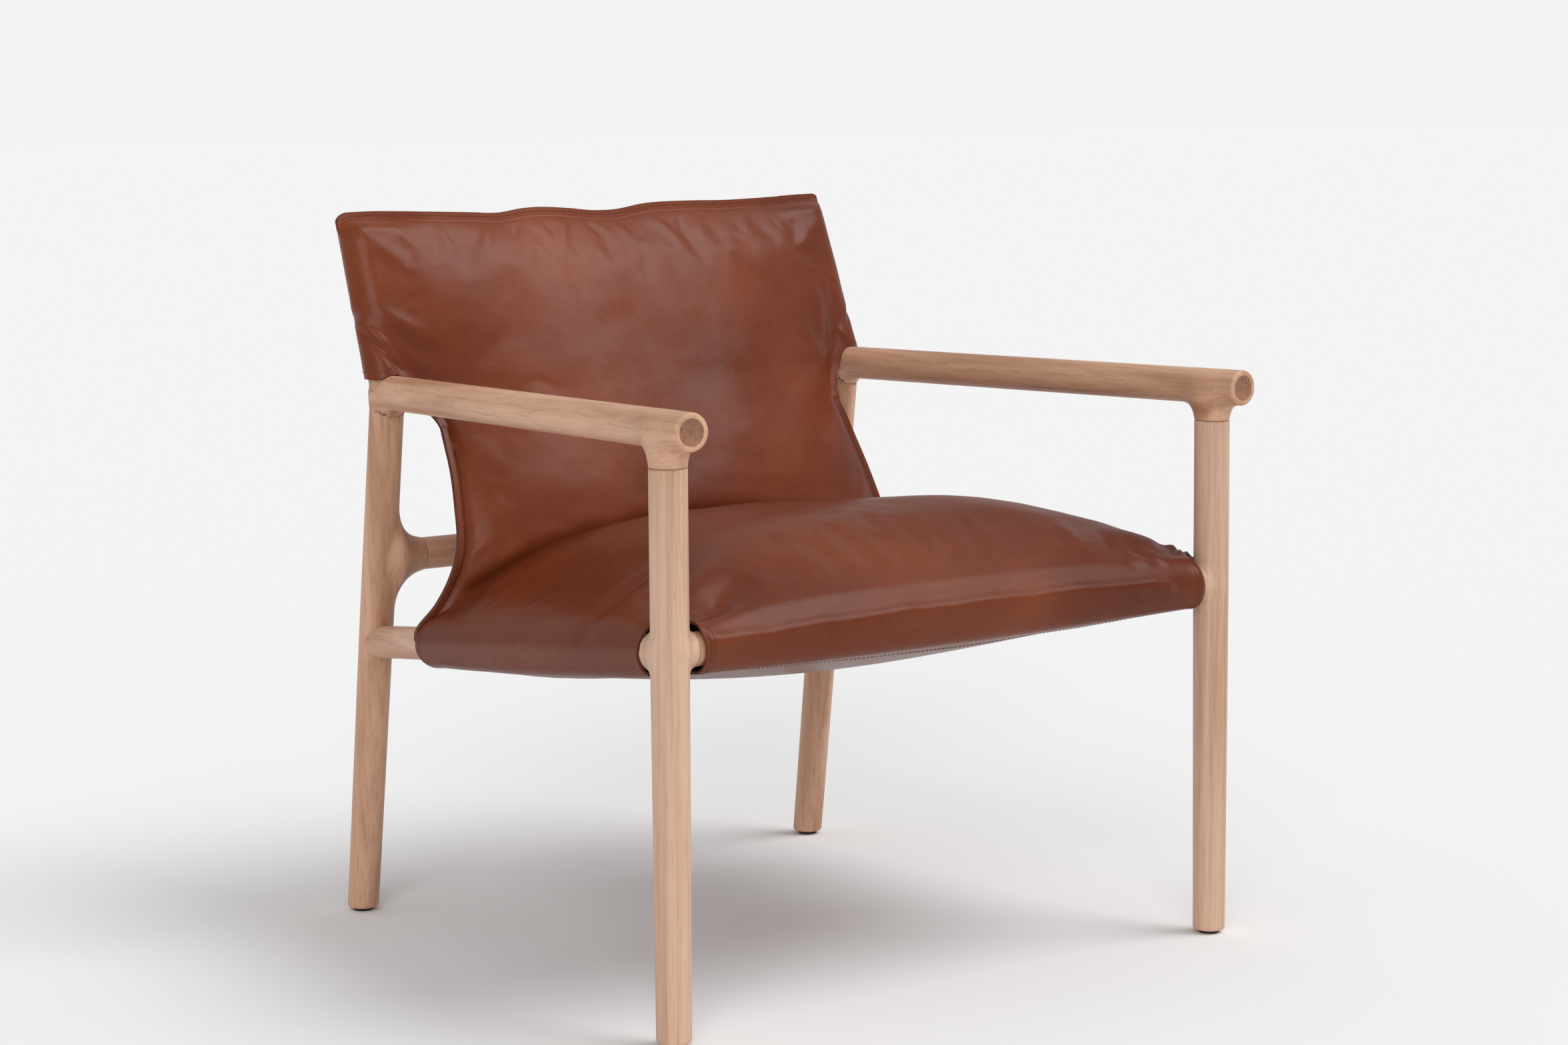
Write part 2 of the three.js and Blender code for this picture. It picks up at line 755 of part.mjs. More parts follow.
// A straight-sided block between two corners
function block(low, high) {
  const size = high.clone().sub(low);
  const geometry = new THREE.BoxGeometry(size.x, size.y, size.z);
  const middle = low.clone().add(high).multiplyScalar(0.5);
  geometry.translate(middle.x, middle.y, middle.z);
  return solidOf(
    Array.from(geometry.attributes.position.array),
    Array.from(geometry.index.array),
  );
}

// A solid of the side with x above 0, as it is on the other side
function mirror(solid) {
  const { vertProperties, triVerts, numProp } = solid.getMesh();
  const positions = [];
  for (let i = 0; i < vertProperties.length; i += numProp) {
    positions.push(-vertProperties[i], vertProperties[i + 1], vertProperties[i + 2]);
  }
  return solidOf(positions, Array.from(triVerts));
}

const both = (solid) => solid.add(mirror(solid));

// Room that the hides and pads leave round the frame's members
const armRoom = (gap) =>
  rod(along(head, armWay, -ARM_CUT_REACH), along(head, armWay, LEG_R), ARM_R + gap);
const headRoom = (gap) =>
  rod(
    rearAxis(HEAD_Z - HEAD_CUT_REACH),
    along(head, legWay, gap),
    LEG_R + gap,
  );
const postRoom = (gap) =>
  rod(head, along(postTop, postWay, gap), POST_R + gap, POST_TIP_R + gap);
const railRoom = (gap) => rod(railFront, railRear, SIDE_RAIL_R + gap);
const bossRoom = (gap) =>
  rod(railFront, along(railFront, railWay, SIDE_BOSS_REACH + gap), SIDE_BOSS_R + gap);
const frontRailRoom = (gap) =>
  rod(v3(-FRONT_HALF, 0, SIDE_RAIL_FRONT_Z), railFront, FRONT_RAIL_R + gap);

// The corner cut out of the seat round a front leg, and all that lies outside it
function notch(gap) {
  const r = NOTCH_R + gap;
  const low = SIDE_RAIL_FRONT_Z - SEAT_CROWN;
  const high = SIDE_RAIL_FRONT_Z + SEAT_CROWN;
  const round = rod(frontAxis(low), frontAxis(high), r);
  const outside = block(v3(FRONT_HALF, -2 * r, low), v3(FRONT_HALF + 2 * r, r, high));
  const before = block(v3(FRONT_HALF - r, -2 * r, low), v3(FRONT_HALF, 0, high));
  return both(round.add(outside).add(before));
}

// A wedge-shaped room across the seat, between two places along y, seen from the side rails
function seatRoom(startY, endY, insetX, lowOf, highOf) {
  return loft(
    [startY, endY].map((y) => {
      const half = railHalf(y) - insetX;
      return [
        v3(half, y, highOf(y)),
        v3(-half, y, highOf(y)),
        v3(-half, y, lowOf(y)),
        v3(half, y, lowOf(y)),
      ];
    }),
  );
}

// Where the underside's own hide lies, less a seam round it if asked
const undersideRoom = (seam) =>
  seatRoom(
    UNDER_PANEL_INSET - seam,
    SEAT_END_Y + OVERRUN,
    UNDER_PANEL_INSET - seam,
    (y) => railZ(y) - SEAT_CROWN,
    railZ,
  );

// Where the seat's pad may lie: between the side rails, and over the front rail
const padRoom = () =>
  seatRoom(
    0,
    SEAT_END_Y - PAD_INSET,
    PAD_EDGE_INSET,
    (y) => railZ(y) - SEAT_CROWN,
    (y) => railZ(y) + 2 * SEAT_CROWN,
  ).add(
    block(
      v3(-FRONT_HALF, -NOSE_OVER, SIDE_RAIL_FRONT_Z + FRONT_RAIL_R / 2),
      v3(FRONT_HALF, OVERRUN, SIDE_RAIL_FRONT_Z + SEAT_CROWN),
    ),
  );

// Where the rear hide of the back lies, between the sleeves and under the hem
function rearPanelRoom(seam) {
  const low = SLEEVE_HEM_Z - seam;
  const high = BACK_THINS_FROM_Z + seam;
  const half = POST_TOP_HALF - SLEEVE_R + seam;
  const deep = 2 * SLEEVE_R;
  return loft(
    [low, high].map((z) => {
      const y = postAt(z).y;
      return [
        v3(half, y + deep, z),
        v3(-half, y + deep, z),
        v3(-half, y, z),
        v3(half, y, z),
      ];
    }),
  );
}

const cover = HIDE + PAD_INSET;
const armAndHeadRoom = (gap) => both(armRoom(gap).add(headRoom(gap)));

const seatHide = seatSkin(0, SEAT_END_Y)
  .subtract(notch(0))
  .subtract(seatSkin(HIDE, SEAT_END_Y + OVERRUN))
  .subtract(back(-SEAM));
const seatPad = seatSkin(cover, SEAT_END_Y - PAD_INSET)
  .intersect(padRoom())
  .subtract(notch(PAD_INSET))
  .subtract(both(railRoom(SNUG).add(bossRoom(PAD_INSET))))
  .subtract(frontRailRoom(SNUG))
  .subtract(back(-PAD_INSET));
const backHide = back(0)
  .subtract(armAndHeadRoom(CUT_CLEARANCE))
  .subtract(backUpper(HIDE, SLEEVE_HEM_Z - OVERRUN).add(backLower(HIDE, WAIST_TOP_Z)));
const backPad = back(cover, HEM_Z)
  .subtract(armAndHeadRoom(CUT_CLEARANCE + PAD_INSET))
  .subtract(both(postRoom(SLEEVE_R - POST_TIP_R)));

const chair = new THREE.Group();

for (const [name, build, origin] of [
  ["front_leg", frontLeg, frontAxis(0)],
  ["rear_leg", rearLeg, rearAxis(0)],
  ["arm", arm, armOverLeg],
  ["side_rail", sideRail, railFront],
  ["back_post", backPost, head],
]) {
  const solid = build();
  chair.add(piece(name + "_left", solid, timber, origin));
  const otherSide = origin.clone().setX(-origin.x);
  chair.add(piece(name + "_right", mirror(solid), timber, otherSide));
}

const frontRail = crossRod(
  railFront,
  FRONT_BOSS_REACH,
  FRONT_RAIL_R,
  TENON_R,
  TENON_LENGTH,
);
const rearCrossRail = crossRod(
  crossEnd,
  CROSS_BOSS_REACH,
  CROSS_RAIL_R,
  CROSS_TENON_R,
  CROSS_TENON_LENGTH,
);
chair.add(piece("front_rail", frontRail, timber));
chair.add(piece("rear_cross_rail", rearCrossRail, timber));

for (const [name, x, y] of [
  ["front", FRONT_HALF, 0],
  ["rear", REAR_HALF, rearLegY(GLIDE_TOP)],
]) {
  chair.add(piece(name + "_glide_left", glide(x, y), nylon));
  chair.add(piece(name + "_glide_right", glide(-x, y), nylon));
}

chair.add(piece("seat_cover", seatHide.subtract(undersideRoom(SEAM)), hide));
chair.add(piece("seat_underside", seatHide.intersect(undersideRoom(0)), hide));
chair.add(piece("seat_pad", seatPad, foam));
chair.add(piece("back_cover", backHide.subtract(rearPanelRoom(SEAM)), hide));
chair.add(piece("back_rear_panel", backHide.intersect(rearPanelRoom(0)), hide));
chair.add(piece("back_pad", backPad, foam));

// The origin is under the middle of the chair, on the floor
const bounds = new THREE.Box3().setFromObject(chair);
const centre = bounds.getCenter(v3(0, 0, 0));
chair.position.set(0, -centre.y, 0);

export default chair;
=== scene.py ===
"""The looks of a lounge chair with a turned timber frame and a padded leather sling.

Lengths in the shape code are millimetres, in a layout whose y = 0 is at the axes of the front legs,
as the chair's frame is laid out. place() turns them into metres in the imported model's frame.
"""

import math

import bpy
import numpy as np
from mathutils import Matrix, Vector
from mathutils.bvhtree import BVHTree
from mathutils.noise import noise as noise3


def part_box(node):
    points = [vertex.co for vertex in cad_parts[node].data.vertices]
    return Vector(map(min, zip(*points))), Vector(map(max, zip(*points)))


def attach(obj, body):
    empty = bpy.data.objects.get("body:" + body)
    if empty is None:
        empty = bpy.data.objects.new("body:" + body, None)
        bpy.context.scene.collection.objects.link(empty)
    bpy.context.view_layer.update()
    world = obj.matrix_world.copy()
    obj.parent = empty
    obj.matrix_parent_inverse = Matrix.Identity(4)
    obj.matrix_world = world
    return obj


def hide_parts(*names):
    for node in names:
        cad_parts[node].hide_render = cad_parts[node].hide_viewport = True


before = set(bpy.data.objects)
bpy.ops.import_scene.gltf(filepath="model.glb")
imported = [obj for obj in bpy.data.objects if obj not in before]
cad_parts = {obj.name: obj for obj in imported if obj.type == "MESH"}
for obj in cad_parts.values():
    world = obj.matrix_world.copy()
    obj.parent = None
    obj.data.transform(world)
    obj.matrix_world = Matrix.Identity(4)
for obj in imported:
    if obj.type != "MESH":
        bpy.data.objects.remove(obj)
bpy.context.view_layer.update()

MM = 0.001
LAYOUT_Y = (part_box("front_glide_left")[0].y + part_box("front_glide_left")[1].y) / 2

# The photograph's camera, in the layout's own place
FRAME_WIDTH = 2352
FOCAL_PIXELS = 5021.9
CAMERA_X, CAMERA_Y, CAMERA_Z = -2057.32, -2458.88, 866.13
CAMERA_YAW = 0.64477
CAMERA_PITCH = -0.10696
CAMERA_ROLL = -0.00734
CENTRE_DOWN_PIXELS = -100

# Sizes of the timber
LEG_R = 18
FOOT_R = 16.5
ARM_R = 18
SIDE_RAIL_R = 17
FRONT_RAIL_R = 16
CROSS_RAIL_R = 17
POST_R = 17
FRONT_HALF = 339.25
REAR_HALF = 300.5
POST_TOP_HALF = 295
REAR_FOOT_Y = 636.6
HEAD_Y, HEAD_Z = 563, 563
NECK_Z = 534
ARM_FRONT_Z = 569
ARM_NOSE = 42.4
SIDE_RAIL_FRONT_Z, SIDE_RAIL_REAR_Z = 366, 296
CROSS_RAIL_Z = 387
POST_TOP_Y, POST_TOP_Z = 631, 737
TAPER_FROM_Z = 320
GLIDE_TOP = 3.3
GAP = 0.3
FRONT_BOSS_REACH = 24
SIDE_BOSS_R = 19
BOSS_FILLET = 9
CROSS_BOSS_REACH = 50
CROSS_FILLET = 42
HEAD_LENGTH = 24
NECK_BELOW = 30
NECK_FILLET = 21
NECK_REACH = 200
ARM_EDGE = 2.6
ARM_FILLET = 15
DISH_R = 21.5
DISH_AWAY = 17
DISH_EASE = 1.6
JOINT_EASE = 0.5
FOOT_EASE = 4
OVERRUN_SHARE = 0.02
BAR_SIDES = 64
BAR_END_R = 0.2

# Sizes of the leather
HIDE = 2.6
CLOTH_FRAMES = 14
CLOTH = {
    "quality": 3,
    "mass": 0.5,
    "tension_stiffness": 30,
    "compression_stiffness": 30,
    "shear_stiffness": 15,
    "bending_stiffness": 12,
    "air_damping": 2,
    "vertex_group_mass": "held",
    "pin_stiffness": 1,
    "use_pressure": True,
    "uniform_pressure_force": 1.5,
}
SNUG = 0.8
SLEEVE_R = 21.5
SEAT_END_Y = 468
SEAT_CROWN = 91
SEAT_CROWN_POWER = 3.3
SEAT_FRONT_POWER = 0.87
SEAT_REAR_POWER = 1.6
SEAT_RISE_REACH = 180
SEAT_RISE_POWER = 1.9
SEAT_FALL = 0.07
SEAT_SAG = 37
NOTCH_R = 27
UNDER_INSET = 24
UNDER_LAP = 12
HEEL = 34
BACK_FOOT_Z = 284
SLEEVE_HEM_Z = 582
HEM_Z = 745
BACK_POWER = 2.6


def mix(a, b, t):
    return a + (b - a) * t


def smooth(t):
    c = np.clip(t, 0, 1)
    return c * c * (3 - 2 * c)


def spots(x, y, z):
    """Points from their coordinates, any of which may be a single number."""
    return np.stack(np.broadcast_arrays(x, y, z), -1)


def place(points):
    """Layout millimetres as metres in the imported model's frame."""
    moved = np.asarray(points, float) * MM
    moved[..., 1] += LAYOUT_Y
    return moved


def rear_leg_y(z):
    return mix(REAR_FOOT_Y, HEAD_Y, z / HEAD_Z)


def new_object(name, points, faces, material, smooth_faces=True):
    mesh = bpy.data.meshes.new(name)
    mesh.from_pydata([tuple(p) for p in points], [], [tuple(f) for f in faces])
    mesh.validate()
    mesh.update()
    if smooth_faces:
        mesh.shade_smooth()
    piece = bpy.data.objects.new(name, mesh)
    bpy.context.scene.collection.objects.link(piece)
    mesh.materials.append(material)
    return piece


# Axes and ends of the frame's members, at the sitter's left
HEAD = np.array([REAR_HALF, HEAD_Y, HEAD_Z], float)
POST_TOP = np.array([POST_TOP_HALF, POST_TOP_Y, POST_TOP_Z], float)
POST_WAY = (POST_TOP - HEAD) / np.linalg.norm(POST_TOP - HEAD)
FOOT = np.array([REAR_HALF, REAR_FOOT_Y, 0], float)
RAIL_FRONT = np.array([FRONT_HALF, 0, SIDE_RAIL_FRONT_Z], float)
RAIL_REAR = np.array([REAR_HALF, rear_leg_y(SIDE_RAIL_REAR_Z), SIDE_RAIL_REAR_Z], float)
RAIL_WAY = (RAIL_REAR - RAIL_FRONT) / np.linalg.norm(RAIL_REAR - RAIL_FRONT)
ARM_OVER_LEG = np.array([FRONT_HALF, 0, ARM_FRONT_Z], float)
ARM_WAY = (HEAD - ARM_OVER_LEG) / np.linalg.norm(HEAD - ARM_OVER_LEG)
ARM_NOSE_END = ARM_OVER_LEG - ARM_NOSE * ARM_WAY
CROSS_END = np.array([REAR_HALF, rear_leg_y(CROSS_RAIL_Z), CROSS_RAIL_Z], float)


# Materials

WHITE = (1, 1, 1, 1)
END_GRAIN_R = 0.0132
END_GRAIN_EDGE = 0.0006


def new_material(name):
    material = bpy.data.materials.new(name)
    material.use_nodes = True
    nodes = material.node_tree.nodes
    return material, material.node_tree, nodes["Principled BSDF"]


def srgb(r, g, b):
    def linear(c):
        c /= 255
        return c / 12.92 if c <= 0.04045 else ((c + 0.055) / 1.055) ** 2.4

    return (linear(r), linear(g), linear(b), 1)


def feed(tree, node, inputs):
    """Sets or links the named inputs of a node."""
    for name, value in inputs.items():
        if isinstance(value, bpy.types.NodeSocket):
            tree.links.new(value, node.inputs[name])
        else:
            node.inputs[name].default_value = value


def add_node(tree, kind, inputs=None, **settings):
    node = tree.nodes.new(kind)
    for name, value in settings.items():
        setattr(node, name, value)
    feed(tree, node, inputs or {})
    return node


def ramp(tree, value, stops):
    """The colour that a ramp gives for a value."""
    node = add_node(tree, "ShaderNodeValToRGB", {"Fac": value})
    elements = node.color_ramp.elements
    while len(elements) < len(stops):
        elements.new(0.5)
    for element, (at, colour) in zip(elements, stops):
        element.position = at
        element.color = colour
    return node.outputs["Color"]


def noise(tree, vector, scale, detail, roughness, distortion=0):
    inputs = {"Vector": vector, "Scale": scale, "Detail": detail}
    inputs |= {"Roughness": roughness, "Distortion": distortion}
    return add_node(tree, "ShaderNodeTexNoise", inputs).outputs["Fac"]


def mapped(tree, scale=(1, 1, 1), offset=(0, 0, 0)):
    """The object's own coordinates, scaled and moved."""
    own = add_node(tree, "ShaderNodeTexCoord").outputs["Object"]
    inputs = {"Vector": own, "Scale": scale, "Location": offset}
    return add_node(tree, "ShaderNodeMapping", inputs).outputs["Vector"]


def map_range(tree, value, limits):
    return add_node(tree, "ShaderNodeMapRange", {"Value": value, **limits}).outputs["Result"]


def mixed(tree, factor, a, b, blend="MIX"):
    inputs = {0: factor, 6: a, 7: b}
    return add_node(tree, "ShaderNodeMix", inputs, data_type="RGBA", blend_type=blend).outputs[2]


def bump(tree, height, strength, distance, **under):
    inputs = {"Height": height, "Strength": strength, "Distance": distance, **under}
    return add_node(tree, "ShaderNodeBump", inputs).outputs["Normal"]


def end_grain(tree, tint, centre):
    """Darker wood with faint rings inside the dish at the front of each arm."""
    own = add_node(tree, "ShaderNodeTexCoord").outputs["Object"]
    both_sides = add_node(tree, "ShaderNodeVectorMath", {0: own}, operation="ABSOLUTE")
    inputs = {0: both_sides.outputs[0], 1: [abs(c) for c in centre]}
    apart = add_node(tree, "ShaderNodeVectorMath", inputs, operation="DISTANCE").outputs["Value"]
    limits = {"From Min": END_GRAIN_R, "From Max": END_GRAIN_R - END_GRAIN_EDGE}
    rings = noise(tree, mapped(tree, (300, 40, 300)), 1, 3, 0.6, 0.8)
    wood = ramp(tree, rings, [(0.35, srgb(128, 84, 62)), (0.62, srgb(160, 112, 86))])
    return mixed(tree, map_range(tree, apart, limits), tint, wood)


def timber_material(name, along, pale, dark, seed, end_at=None):
    """Straight-grained wood whose grain runs along the given axis of the object."""
    material, tree, shader = new_material(name)
    offset = (seed * 3.1, seed * 1.7, seed * 2.3)

    def grain(across, lengthwise, detail, roughness, distortion=0):
        scale = [across] * 3
        scale["xyz".index(along)] = lengthwise
        return noise(tree, mapped(tree, scale, offset), 1, detail, roughness, distortion)

    fibre = grain(260, 5, 5, 0.6, 0.1)
    bright = tuple(min(1, c * 1.12) for c in pale[:3]) + (1,)
    body = ramp(tree, grain(38, 1.6, 3, 0.5, 0.6), [(0.3, dark), (0.5, pale), (0.72, bright)])
    streaks = ramp(tree, fibre, [(0.38, (0.8, 0.73, 0.67, 1)), (0.52, WHITE)])
    pores = ramp(tree, grain(900, 22, 2, 0.5), [(0.34, (0.62, 0.52, 0.45, 1)), (0.42, WHITE)])
    tint = mixed(tree, 0.6, body, streaks, "MULTIPLY")
    tint = mixed(tree, 0.35, tint, pores, "MULTIPLY")
    if end_at is not None:
        tint = end_grain(tree, tint, end_at)
    rough = map_range(tree, fibre, {"To Min": 0.38, "To Max": 0.56})
    normal = bump(tree, fibre, 0.12, 0.0006)
    feed(tree, shader, {"Base Color": tint, "Roughness": rough, "Normal": normal})
    return material


def leather_material(name, body, deep, bright):
    """Smooth semi-gloss hide: cloudy dye, fine pebbled grain and faint creases."""
    material, tree, shader = new_material(name)
    cloud = noise(tree, mapped(tree), 4.5, 4, 0.5, 0.3)
    tone = ramp(tree, cloud, [(0.3, deep), (0.52, body), (0.75, bright)])
    fleck = noise(tree, mapped(tree, offset=(3, 1, 2)), 160, 3, 0.6)
    specks = ramp(tree, fleck, [(0.35, (0.86, 0.84, 0.83, 1)), (0.6, WHITE)])
    tint = mixed(tree, 0.6, tone, specks, "MULTIPLY")
    inputs = {"Vector": mapped(tree), "Scale": 750, "Randomness": 0.9}
    grain = add_node(tree, "ShaderNodeTexVoronoi", inputs, feature="F1").outputs["Distance"]
    creases = noise(tree, mapped(tree), 60, 6, 0.62, 0.8)
    swell = noise(tree, mapped(tree, offset=(5, 5, 5)), 14, 3, 0.5)
    normal = bump(tree, grain, 0.1, 0.0004)
    normal = bump(tree, creases, 0.12, 0.0012, Normal=normal)
    normal = bump(tree, swell, 0.16, 0.006, Normal=normal)
    rough = map_range(tree, cloud, {"To Min": 0.27, "To Max": 0.4})
    feed(tree, shader, {"Base Color": tint, "Roughness": rough, "Normal": normal})
    shader.inputs["Specular IOR Level"].default_value = 0.2
    return material


def plain_material(name, colour, roughness, scale, strength):
    material, tree, shader = new_material(name)
    grain = noise(tree, mapped(tree), scale, 3, 0.6)
    dark = tuple(c * 0.75 for c in colour[:3]) + (1,)
    tint = ramp(tree, grain, [(0.3, dark), (0.7, colour)])
    normal = bump(tree, grain, strength, 0.0004)
    feed(tree, shader, {"Base Color": tint, "Roughness": roughness, "Normal": normal})
    return material


PALE = srgb(211, 173, 148)
PALE_DARK = srgb(193, 151, 124)
WARM = srgb(208, 163, 134)
WARM_DARK = srgb(180, 132, 101)
leg_timber = timber_material("timber_leg", "z", PALE, PALE_DARK, 1)
rear_timber = timber_material("timber_rear_leg", "z", WARM, WARM_DARK, 2)
arm_timber = timber_material("timber_arm", "y", WARM, WARM_DARK, 3, place(ARM_NOSE_END))
rail_timber = timber_material("timber_side_rail", "y", PALE, PALE_DARK, 4)
cross_timber = timber_material("timber_cross_rail", "x", WARM, WARM_DARK, 5)
hide_material = leather_material("hide", srgb(122, 58, 33), srgb(102, 44, 24), srgb(136, 70, 42))
# The seat's hide is a darker copy of the back's hide, at about 0.8 of its colour: painted shade that
# makes the seat render darker than the back under the same lamps.
seat_shaded_material = leather_material("hide_seat", srgb(110, 50, 26), srgb(91, 37, 18), srgb(124, 62, 34))
under_material = leather_material("hide_under", srgb(120, 72, 66), srgb(100, 56, 52), srgb(134, 86, 80))
edge_material = plain_material("hide_edge", srgb(98, 52, 36), 0.6, 400, 0.2)
thread_material = plain_material("thread", srgb(92, 50, 36), 0.6, 900, 0.3)
glide_material = plain_material("glide", srgb(38, 36, 35), 0.6, 500, 0.15)


# Solids from a distance field

SLOPE_STEP_SHARE = 0.05


def surface(field, low, high, cell):
    """The points and quads of the zero surface of a distance field, in layout millimetres."""
    low, high = np.array(low, float), np.array(high, float)
    counts = np.ceil((high - low) / cell).astype(int) + 1
    grid = low + cell * np.stack(np.indices(counts), -1)
    value = field(grid.reshape(-1, 3)).reshape(counts)
    inside = value < 0
    cells = counts - 1
    corners = list(np.ndindex(2, 2, 2))

    def at(array, corner):
        return array[tuple(slice(c, c + n) for c, n in zip(corner, cells))]

    total = sum(at(inside, c).astype(int) for c in corners)
    crossing = (total > 0) & (total < 8)
    number = -np.ones(cells, int)
    number[crossing] = np.arange(crossing.sum())
    base = np.argwhere(crossing)
    points = np.zeros((len(base), 3))
    weight = np.zeros(len(base))
    for a, axis in ((a, axis) for a in corners for axis in range(3) if not a[axis]):
        b = tuple(1 if i == axis else a[i] for i in range(3))
        va, vb = at(value, a)[crossing], at(value, b)[crossing]
        crossed = (va < 0) != (vb < 0)
        spot = base + np.array(a, float)
        spot[:, axis] += np.where(crossed, va / np.where(crossed, va - vb, 1), 0)
        points[crossed] += spot[crossed]
        weight[crossed] += 1
    points = low + cell * points / weight[:, None]
    step = cell * SLOPE_STEP_SHARE
    for _ in range(3):
        rise = [field(points + step * e) - field(points - step * e) for e in np.eye(3)]
        slope = np.stack(rise, -1) / (2 * step)
        size = np.maximum((slope**2).sum(-1), 1e-6)
        move = -(field(points) / size)[:, None] * slope
        reach = np.linalg.norm(move, axis=1)
        points += move * np.minimum(1, cell * 0.5 / np.maximum(reach, 1e-9))[:, None]
    faces = []
    for axis in range(3):
        u, v = (axis + 1) % 3, (axis + 2) % 3
        here = np.take(inside, range(counts[axis] - 1), axis)
        first = np.argwhere(here != np.take(inside, range(1, counts[axis]), axis))
        for side in (u, v):
            first = first[(first[:, side] > 0) & (first[:, side] < cells[side])]
        quad = []
        for du, dv in ((1, 1), (0, 1), (0, 0), (1, 0)):
            index = first.copy()
            index[:, u] -= du
            index[:, v] -= dv
            quad.append(number[tuple(index.T)])
        quad = np.stack(quad, 1)
        starts_outside = ~inside[tuple(first.T)]
        quad[starts_outside] = quad[starts_outside][:, ::-1]
        faces.append(quad)
    return points, np.concatenate(faces)


def capped_rod(p, start, end, start_r, end_r=None, edge=2.0):
    """Distance to a straight round member, with its two ends eased."""
    end_r = start_r if end_r is None else end_r
    start, end = np.array(start, float), np.array(end, float)
    way = end - start
    length = np.linalg.norm(way)
    way /= length
    t = (p - start) @ way
    across = np.linalg.norm(p - start - t[:, None] * way, axis=1)
    radius = mix(start_r, end_r, np.clip(t / length, 0, 1))
    side = across - radius + edge
    cap = np.maximum(-t, t - length) + edge
    outside = np.sqrt(np.maximum(side, 0) ** 2 + np.maximum(cap, 0) ** 2)
    return outside + np.minimum(np.maximum(side, cap), 0) - edge


def blend(a, b, reach):
    """The union of two distances with a fillet of about that reach."""
    h = np.maximum(reach - np.abs(a - b), 0) / reach
    return np.minimum(a, b) - h * h * reach / 4


def cut(a, b, reach=0.6):
    """Distance a with b taken out, its edge eased a little."""
    return -blend(-a, b, reach)


def leg_distance(p, foot, top):
    """A leg that tapers a little from under its rails to its foot."""
    taper = foot + (top - foot) * (TAPER_FROM_Z / top[2])
    over = (top - foot) * OVERRUN_SHARE
    upper = capped_rod(p, taper, top, LEG_R)
    lower = capped_rod(p, foot - over, taper + over, FOOT_R, LEG_R)
    return cut(np.minimum(upper, lower), p[:, 2] - GLIDE_TOP, FOOT_EASE)


def arm_field(p):
    z = p[:, 2]
    rod = capped_rod(p, ARM_NOSE_END, HEAD, ARM_R, edge=ARM_EDGE)
    neck = capped_rod(p, ARM_OVER_LEG, [FRONT_HALF, 0, NECK_Z - NECK_BELOW], LEG_R)
    d = blend(rod, neck, NECK_FILLET)
    dish_centre = ARM_NOSE_END - ARM_WAY * DISH_AWAY
    d = cut(d, np.linalg.norm(p - dish_centre, axis=1) - DISH_R, DISH_EASE)
    leg = capped_rod(p, FOOT, HEAD, LEG_R)
    leg = np.minimum(leg, capped_rod(p, HEAD - POST_WAY * 2, HEAD + POST_WAY * 40, LEG_R))
    d = blend(d, leg, mix(ARM_FILLET, 1, smooth((z - HEAD_Z + 4) / 14)))
    d = cut(d, leg - GAP, JOINT_EASE)
    return cut(d, np.where(p[:, 1] < NECK_REACH, z - (NECK_Z + GAP), NECK_BELOW))


def rear_leg_field(p):
    x = p[:, 0]
    d = leg_distance(p, FOOT, HEAD)
    top = HEAD + POST_WAY * HEAD_LENGTH
    d = blend(d, capped_rod(p, HEAD - POST_WAY * 6, top, LEG_R, POST_R, JOINT_EASE), 8)
    rail = capped_rod(p, CROSS_END, CROSS_END - [120, 0, 0], CROSS_RAIL_R)
    d = blend(d, rail, mix(1, CROSS_FILLET, smooth((REAR_HALF + 4 - x) / 22)))
    return cut(d, x - (REAR_HALF - CROSS_BOSS_REACH))


def front_leg_field(p):
    top = np.array([FRONT_HALF, 0, NECK_Z + 20], float)
    d = leg_distance(p, top * [1, 1, 0], top)
    for way, radius in ((RAIL_WAY, SIDE_BOSS_R), (np.array([-1, 0, 0]), FRONT_RAIL_R)):
        boss = capped_rod(p, RAIL_FRONT, RAIL_FRONT + way * FRONT_BOSS_REACH, radius, edge=JOINT_EASE)
        d = blend(d, boss, BOSS_FILLET)
    return cut(d, NECK_Z - p[:, 2], JOINT_EASE)


def add_timber(node, points, faces, material):
    piece = new_object(f"{node}_wood", place(points), faces, material)
    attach(piece, "root")
    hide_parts(node)
    return piece


def timber_pair(name, field, low, high, cell, material):
    points, faces = surface(field, low, high, cell)
    add_timber(f"{name}_left", points, faces.tolist(), material)
    add_timber(f"{name}_right", points * [-1, 1, 1], faces[:, ::-1].tolist(), material)


def round_bar(node, start, end, start_r, end_r, material, edge=0.6):
    """A turned bar with softened ends, standing for a CAD node."""
    start, end = np.array(start, float), np.array(end, float)
    way = end - start
    length = np.linalg.norm(way)
    way /= length
    side = np.cross(way, [0, 0, 1])
    side /= np.linalg.norm(side)
    up = np.cross(side, way)
    profile = [(0, BAR_END_R), (0, start_r - edge), (edge, start_r)]
    profile += [(t * length, mix(start_r, end_r, t)) for t in np.linspace(0, 1, 9)[1:-1]]
    profile += [(length - edge, end_r), (length, end_r - edge), (length, BAR_END_R)]
    points = []
    for at, r in profile:
        for k in range(BAR_SIDES):
            a = 2 * math.pi * k / BAR_SIDES
            points.append(start + way * at + r * (math.cos(a) * side + math.sin(a) * up))
    faces = []
    last = (len(profile) - 1) * BAR_SIDES
    for start_of_ring in range(0, last, BAR_SIDES):
        for k in range(BAR_SIDES):
            a, b = start_of_ring + k, start_of_ring + (k + 1) % BAR_SIDES
            faces.append((a, a + BAR_SIDES, b + BAR_SIDES, b))
    faces.append(tuple(range(BAR_SIDES)))
    faces.append(tuple(reversed(range(last, last + BAR_SIDES))))
    piece = add_timber(node, points, faces, material)
    piece.data.set_sharp_from_angle(angle=math.radians(40))


